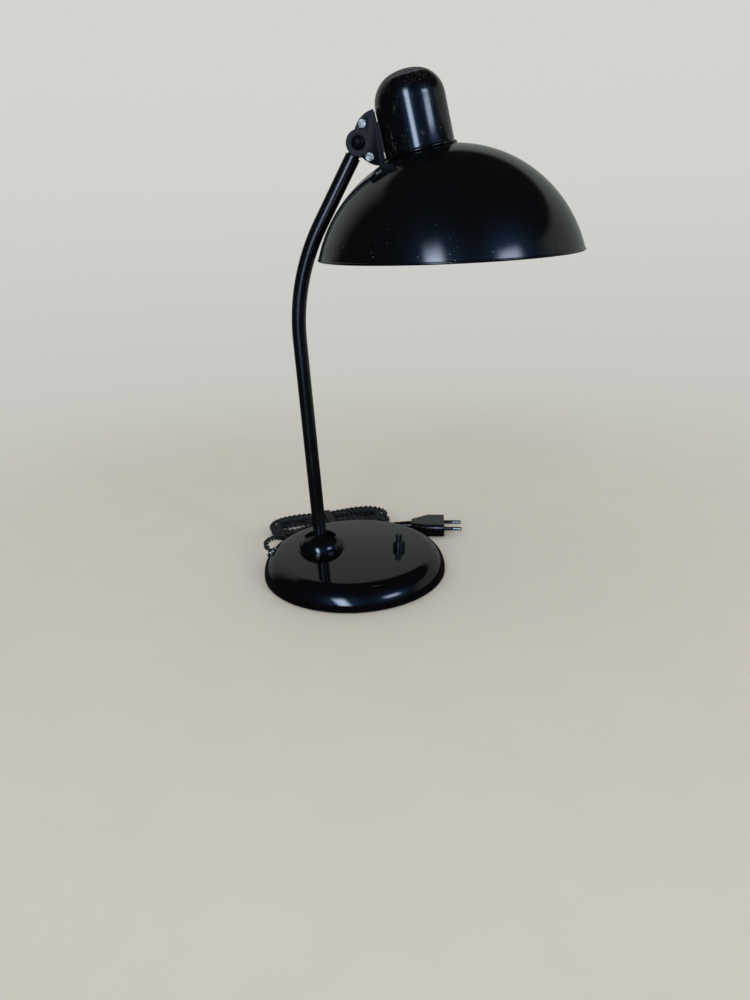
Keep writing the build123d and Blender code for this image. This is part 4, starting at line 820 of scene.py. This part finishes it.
def cord_line():
    """The smooth line of the whole cord, in metres, read from its spline."""
    turns = hank_points()
    run_in = (turns[1] - turns[0]).normalized() * HANK_RUN_IN
    run_out = (turns[-1] - turns[-2]).normalized() * HANK_RUN_IN
    route = [Vector(CORD_START)] + [Vector(p) for p in CORD_LEAD]
    route += [turns[0] - run_in] + turns + [turns[-1] + run_out] + [Vector(p) for p in CORD_TAIL]
    curve = bpy.data.curves.new("cord_route", "CURVE")
    curve.dimensions = "3D"
    spline = curve.splines.new("NURBS")
    spline.points.add(len(route) - 1)
    for point, place in zip(spline.points, route):
        point.co = (*(place * MM), 1.0)
    spline.order_u = 3
    spline.use_endpoint_u = True
    spline.resolution_u = 12
    holder = bpy.data.objects.new("cord_route", curve)
    line = bpy.data.meshes.new_from_object(holder)
    points = [v.co.copy() for v in line.vertices]
    bpy.data.objects.remove(holder)
    bpy.data.curves.remove(curve)
    bpy.data.meshes.remove(line)
    return points


def even_points(points, spacing):
    """The same line with its points evenly spaced."""
    lengths = [0.0]
    for one, two in zip(points, points[1:]):
        lengths.append(lengths[-1] + (two - one).length)
    count = max(2, round(lengths[-1] / spacing))
    even, index = [], 0
    for step in range(count + 1):
        target = lengths[-1] * step / count
        while index < len(lengths) - 2 and lengths[index + 1] < target:
            index += 1
        span = lengths[index + 1] - lengths[index]
        even.append(points[index].lerp(points[index + 1], (target - lengths[index]) / span))
    return even


def frames_along(points):
    """Two cross directions at each point, carried along without twist."""
    across = None
    crosses = []
    for index, point in enumerate(points):
        before = points[max(index - 1, 0)]
        after = points[min(index + 1, len(points) - 1)]
        tangent = (after - before).normalized()
        if across is None:
            across = tangent.orthogonal().normalized()
        across = (across - tangent * across.dot(tangent)).normalized()
        crosses.append((across, tangent.cross(across)))
    return crosses


def strand(points, crosses, offset, radius, phase, turn):
    """Rings of one strand wound round the line, a turn further at each point."""
    rings = []
    for index, (point, (one, two)) in enumerate(zip(points, crosses)):
        angle = turn * index + phase
        middle = point + (one * math.cos(angle) + two * math.sin(angle)) * offset
        rings.append([
            middle + (one * math.cos(a) + two * math.sin(a)) * radius
            for a in (2 * math.pi * side / STRAND_SIDES for side in range(STRAND_SIDES))
        ])
    poles = [[ring[0].lerp(ring[STRAND_SIDES // 2], 0.5)] for ring in (rings[0], rings[-1])]
    return [poles[0], *rings, poles[1]]


def braid_material():
    """Glazed cotton braid: small diamond weave, dull sheen."""
    look = bpy.context.scene.lamp_cord
    made, tree, shader = material(
        "glazed_cotton_braid", look.colour, 0.65, Sheen_Weight=0.06, Sheen_Roughness=0.4,
    )
    uv = node(tree, "UVMap", uv_map="braid")
    # Threads 0.7 mm apart, drawn a little coarser than they are.
    x, y, _ = node(tree, "SeparateXYZ", {0: uv}).node.outputs
    pattern = 0.0
    for sign in (1.0, -1.0):
        slope = node(tree, "Math", {0: y, 1: sign, 2: x}, operation="MULTIPLY_ADD")
        slope = node(tree, "Math", {0: slope, 1: 2 * math.pi}, operation="MULTIPLY")
        wave = node(tree, "Math", {0: slope}, operation="SINE")
        wave = node(tree, "Math", {0: wave}, operation="ABSOLUTE")
        pattern = node(tree, "Math", {0: pattern, 1: wave}, operation="MAXIMUM")
    # The raised thread crests are painted paler: a painted sheen on the weave.
    pale = tuple(min(1.0, c * 2.2 + 0.004) for c in look.colour)
    crest_painted_sheen = node(tree, "MapRange", {0: pattern, 1: 0.5, 2: 1.0}, **SMOOTH)
    connect(
        shader, Base_Color=node(tree, "Mix", {0: crest_painted_sheen, 6: look.colour, 7: pale}, **COLOURS),
        Normal=node(tree, "Bump", {
            "Height": pattern, "Distance": 0.12 * MM, "Strength": 0.7,
        }),
    )
    return made


class LAMP_OT_cord(bpy.types.Operator):
    """Twisted cloth cord from the grommet through its tied hank to the plug"""

    bl_idname = "lamp.cord"
    bl_label = "Cord"

    def execute(self, context):
        look = context.scene.lamp_cord
        line = even_points(cord_line(), look.lay / TWIST_POINTS)
        length = sum((b - a).length for a, b in zip(line, line[1:]))
        spacing = length / (len(line) - 1)
        crosses = frames_along(line)
        radius = look.thickness / 4
        turn = 2 * math.pi * spacing / look.lay
        points, faces = [], []
        for phase in (0.0, math.pi):
            more, quads = skin(strand(line, crosses, radius, radius, phase, turn))
            faces += [tuple(index + len(points) for index in quad) for quad in quads]
            points += more
        cord = mesh_piece("cord_twisted_pair", points, faces, braid_material())
        uv = cord.data.uv_layers.new(name="braid")
        per_strand = len(points) // 2
        for face in cord.data.polygons:
            for loop in face.loop_indices:
                vertex = cord.data.loops[loop].vertex_index % per_strand
                ring, side = divmod(max(vertex - 1, 0), STRAND_SIDES)
                closes = side == 0 and face.index % STRAND_SIDES == STRAND_SIDES - 1
                wrapped = side + (STRAND_SIDES if closes else 0)
                uv.data[loop].uv = (
                    wrapped * BRAID_ROUND / STRAND_SIDES, ring * spacing / BRAID_REPEAT,
                )
        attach(cord, "base")
        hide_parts("cord_lead", "cord_hank", "cord_tail")
        dress(cord.data.materials[0], "inner_cord")
        # Woven strap: matt brown-black, its threads 0.6 mm apart.
        strap, tree, shader = material("woven_tie_strap", rgb("#1b1714"), 0.7)
        relief(tree, shader, 0.6, 0.05, 3.0)
        rounded(strap, 0.1, "cord_tie")
        return {"FINISHED"}


# ================================================================== stage
class LAMP_OT_stage(bpy.types.Operator):
    """Floor, backdrop, soft window lights and the camera"""

    bl_idname = "lamp.stage"
    bl_label = "Stage"

    def execute(self, context):
        scene = context.scene
        look = scene.lamp_stage
        scene.view_settings.view_transform = "Standard"
        self.camera(scene)
        self.floor(look)
        self.world(scene, look)
        for row, power in zip(WINDOWS, (look.window, look.side)):
            self.window(*row, power)
        return {"FINISHED"}

    def camera(self, scene):
        """Camera where the photograph was taken."""
        data = bpy.data.cameras.new("camera")
        data.sensor_fit = "VERTICAL"
        data.sensor_height = 36.0
        data.lens = CAMERA["lens"]
        data.clip_start = 0.01
        axes = (Vector(CAMERA["right"]), Vector(CAMERA["up"]), -Vector(CAMERA["forward"]))
        camera = bpy.data.objects.new("camera", data)
        camera.matrix_world = (
            Matrix.Translation(CAMERA["at"]) @ Matrix(axes).transposed().to_4x4()
        )
        scene.collection.objects.link(camera)
        scene.camera = camera

    def floor(self, look):
        """Painted board: pale and matt, its tone drifting slowly; it fades into the backdrop."""
        half = FLOOR_HALF
        points = [(-half, -half, 0), (half, -half, 0), (half, half, 0), (-half, half, 0)]
        made, tree, shader = material("painted_board", look.floor, 0.6)
        pale = tuple(min(1.0, c * 1.06) for c in look.floor)
        connect(shader, Base_Color=node(tree, "Mix", {
            0: noise(tree, 60.0, 4.0), 6: look.floor, 7: pale,
        }, **COLOURS))
        coords = node(tree, "TexCoord", out="Object")
        away = node(tree, "VectorMath", {0: coords}, "Value", operation="LENGTH")
        near, far = FLOOR_FADE
        fade = node(tree, "MapRange", {0: away, 1: near, 2: far}, **SMOOTH)
        # Glossy rays see the surface painted dark: a painted dark reflection in the base's foot,
        # standing in for the shade under the real lamp.
        lit = node(tree, "MixShader", {
            0: node(tree, "LightPath", out="Is Glossy Ray"), 1: shader.outputs[0],
            2: node(tree, "BsdfDiffuse", {"Color": rgb("#2a2622")}),
        })
        mixed = node(tree, "MixShader", {0: fade, 1: lit, 2: node(tree, "BsdfTransparent")})
        tree.links.new(mixed, tree.nodes["Material Output"].inputs["Surface"])
        mesh_piece("floor", points, [(0, 1, 2, 3)], made)

    def world(self, scene, look):
        """Even soft light; gloss shows a pale wall behind, two windows in front, a dim room."""
        world = bpy.data.worlds.new("room")
        scene.world = world
        world.use_nodes = True
        tree = world.node_tree
        tree.nodes.remove(tree.nodes["Background"])
        rays = node(tree, "LightPath").node.outputs
        direction = node(tree, "TexCoord", out="Generated")
        x, y, z = node(tree, "SeparateXYZ", {0: direction}).node.outputs
        # The wall stands behind the lamp; its lit part ends higher at the left than at the right.
        lit = 1.0
        for share, along, low, high in ((0.3, y, 0.0, 0.42), (0.2, z, 0.69, 0.60)):
            place = node(tree, "Math", {0: x, 1: share, 2: along}, operation="MULTIPLY_ADD")
            side = node(tree, "MapRange", {0: place, 1: low, 2: high}, **SMOOTH)
            lit = node(tree, "Math", {0: side, 1: lit}, operation="MULTIPLY")
        level = node(tree, "Math", {0: lit, 1: 0.4, 2: 0.012}, operation="MULTIPLY_ADD")
        gloss = node(tree, "Background", {"Color": rgb("#dde5df"), "Strength": level})
        for azimuth, elevation, lean, wide, tall, steep, colour, power in GLOWS:
            factor = self.glow(tree, direction, (azimuth, elevation, lean), (wide, tall), steep)
            strength = node(tree, "Math", {0: factor, 1: power}, operation="MULTIPLY")
            light = node(tree, "Background", {"Color": rgb(colour), "Strength": strength})
            gloss = node(tree, "AddShader", {0: gloss, 1: light})
        soft = node(tree, "Background", {"Color": rgb("#eceff2"), "Strength": 0.95})
        inner = node(tree, "MixShader", {0: rays["Is Glossy Ray"], 1: soft, 2: gloss})
        # The camera, and rays through the bulb's glass, see a plain backdrop.
        low = node(tree, "MapRange", {0: z, 1: 0.15, 2: -0.40}, **SMOOTH)
        shade = node(tree, "Mix", {0: low, 6: look.wall, 7: look.wall_low}, **COLOURS)
        plain = node(tree, "Background", {"Color": shade, "Strength": 1.0})
        seen = node(tree, "Math", {
            0: rays["Is Camera Ray"], 1: rays["Is Transmission Ray"],
        }, operation="MAXIMUM")
        outer = node(tree, "MixShader", {0: seen, 1: inner, 2: plain})
        tree.links.new(outer, tree.nodes["World Output"].inputs["Surface"])

    def glow(self, tree, direction, aim, half, steep):
        """Brightness of a soft-edged window seen along a direction, all in degrees."""
        turn, rise, lean = (math.radians(angle) for angle in aim)
        cos_turn, sin_turn = math.cos(turn), math.sin(turn)
        ahead = Vector((cos_turn * math.cos(rise), sin_turn * math.cos(rise), math.sin(rise)))
        side = Matrix.Rotation(lean, 3, ahead) @ Vector((-sin_turn, cos_turn, 0.0))
        total = 0.0
        for way, size in zip((side, ahead.cross(side)), half):
            reach = math.sin(math.radians(size))
            share = node(tree, "VectorMath", {0: direction, 1: way / reach}, "Value",
                         operation="DOT_PRODUCT")
            share = node(tree, "Math", {0: share}, operation="ABSOLUTE")
            share = node(tree, "Math", {0: share, 1: steep}, operation="POWER")
            total = node(tree, "Math", {0: share, 1: total}, operation="ADD")
        total = node(tree, "Math", {0: total, 1: -1.0}, operation="MULTIPLY")
        fall = node(tree, "Math", {0: total}, operation="EXPONENT")
        front = node(tree, "VectorMath", {0: direction, 1: ahead}, "Value", operation="DOT_PRODUCT")
        front = node(tree, "Math", {0: front, 1: 0.0}, operation="GREATER_THAN")
        return node(tree, "Math", {0: fall, 1: front}, operation="MULTIPLY")

    def window(self, name, azimuth, elevation, distance, width, height, colour, power):
        """A tall soft light that faces the lamp."""
        data = bpy.data.lights.new(name, "AREA")
        data.shape = "RECTANGLE"
        data.size = width
        data.size_y = height
        data.energy = power
        data.color = rgb(colour)
        turn, rise = math.radians(azimuth), math.radians(elevation)
        way = Vector((
            math.cos(turn) * math.cos(rise), math.sin(turn) * math.cos(rise), math.sin(rise),
        ))
        light = bpy.data.objects.new(name, data)
        light.visible_glossy = False    # its mirror image is one of the glows
        facing = (-way).to_track_quat("-Z", "Y").to_matrix().to_4x4()
        light.matrix_world = Matrix.Translation(Vector(LIGHT_AIM) + way * distance) @ facing
        bpy.context.scene.collection.objects.link(light)


# ================================================================== panel
class LAMP_PT_panel(bpy.types.Panel):
    """The lamp's pieces in the sidebar"""

    bl_label = "Desk lamp"
    bl_idname = "LAMP_PT_panel"
    bl_space_type = "VIEW_3D"
    bl_region_type = "UI"
    bl_category = "Lamp"

    def draw(self, context):
        scene = context.scene
        for group in (scene.lamp_enamel, scene.lamp_cord, scene.lamp_stage):
            box = self.layout.box()
            for name in group.__annotations__:
                box.prop(group, name)
        for operator in OPERATORS:
            self.layout.operator(operator.bl_idname)


GROUPS = (
    ("lamp_enamel", LampEnamelSettings), ("lamp_cord", LampCordSettings),
    ("lamp_stage", LampStageSettings),
)
OPERATORS = (
    LAMP_OT_stage, LAMP_OT_cord, LAMP_OT_enamel, LAMP_OT_metal, LAMP_OT_plastic, LAMP_OT_bulb,
)


def register():
    """Registers the classes and their settings."""
    for name, group in GROUPS:
        bpy.utils.register_class(group)
        setattr(bpy.types.Scene, name, PointerProperty(type=group))
    for item in (*OPERATORS, LAMP_PT_panel):
        bpy.utils.register_class(item)


def unregister():
    """Removes the classes and their settings."""
    for item in (LAMP_PT_panel, *reversed(OPERATORS)):
        bpy.utils.unregister_class(item)
    for name, group in reversed(GROUPS):
        delattr(bpy.types.Scene, name)
        bpy.utils.unregister_class(group)


def main():
    """Dresses the lamp."""
    register()
    bpy.ops.lamp.stage()
    bpy.ops.lamp.cord()
    bpy.ops.lamp.enamel()
    bpy.ops.lamp.metal()
    bpy.ops.lamp.plastic()
    bpy.ops.lamp.bulb()


if __name__ == "__main__":
    main()
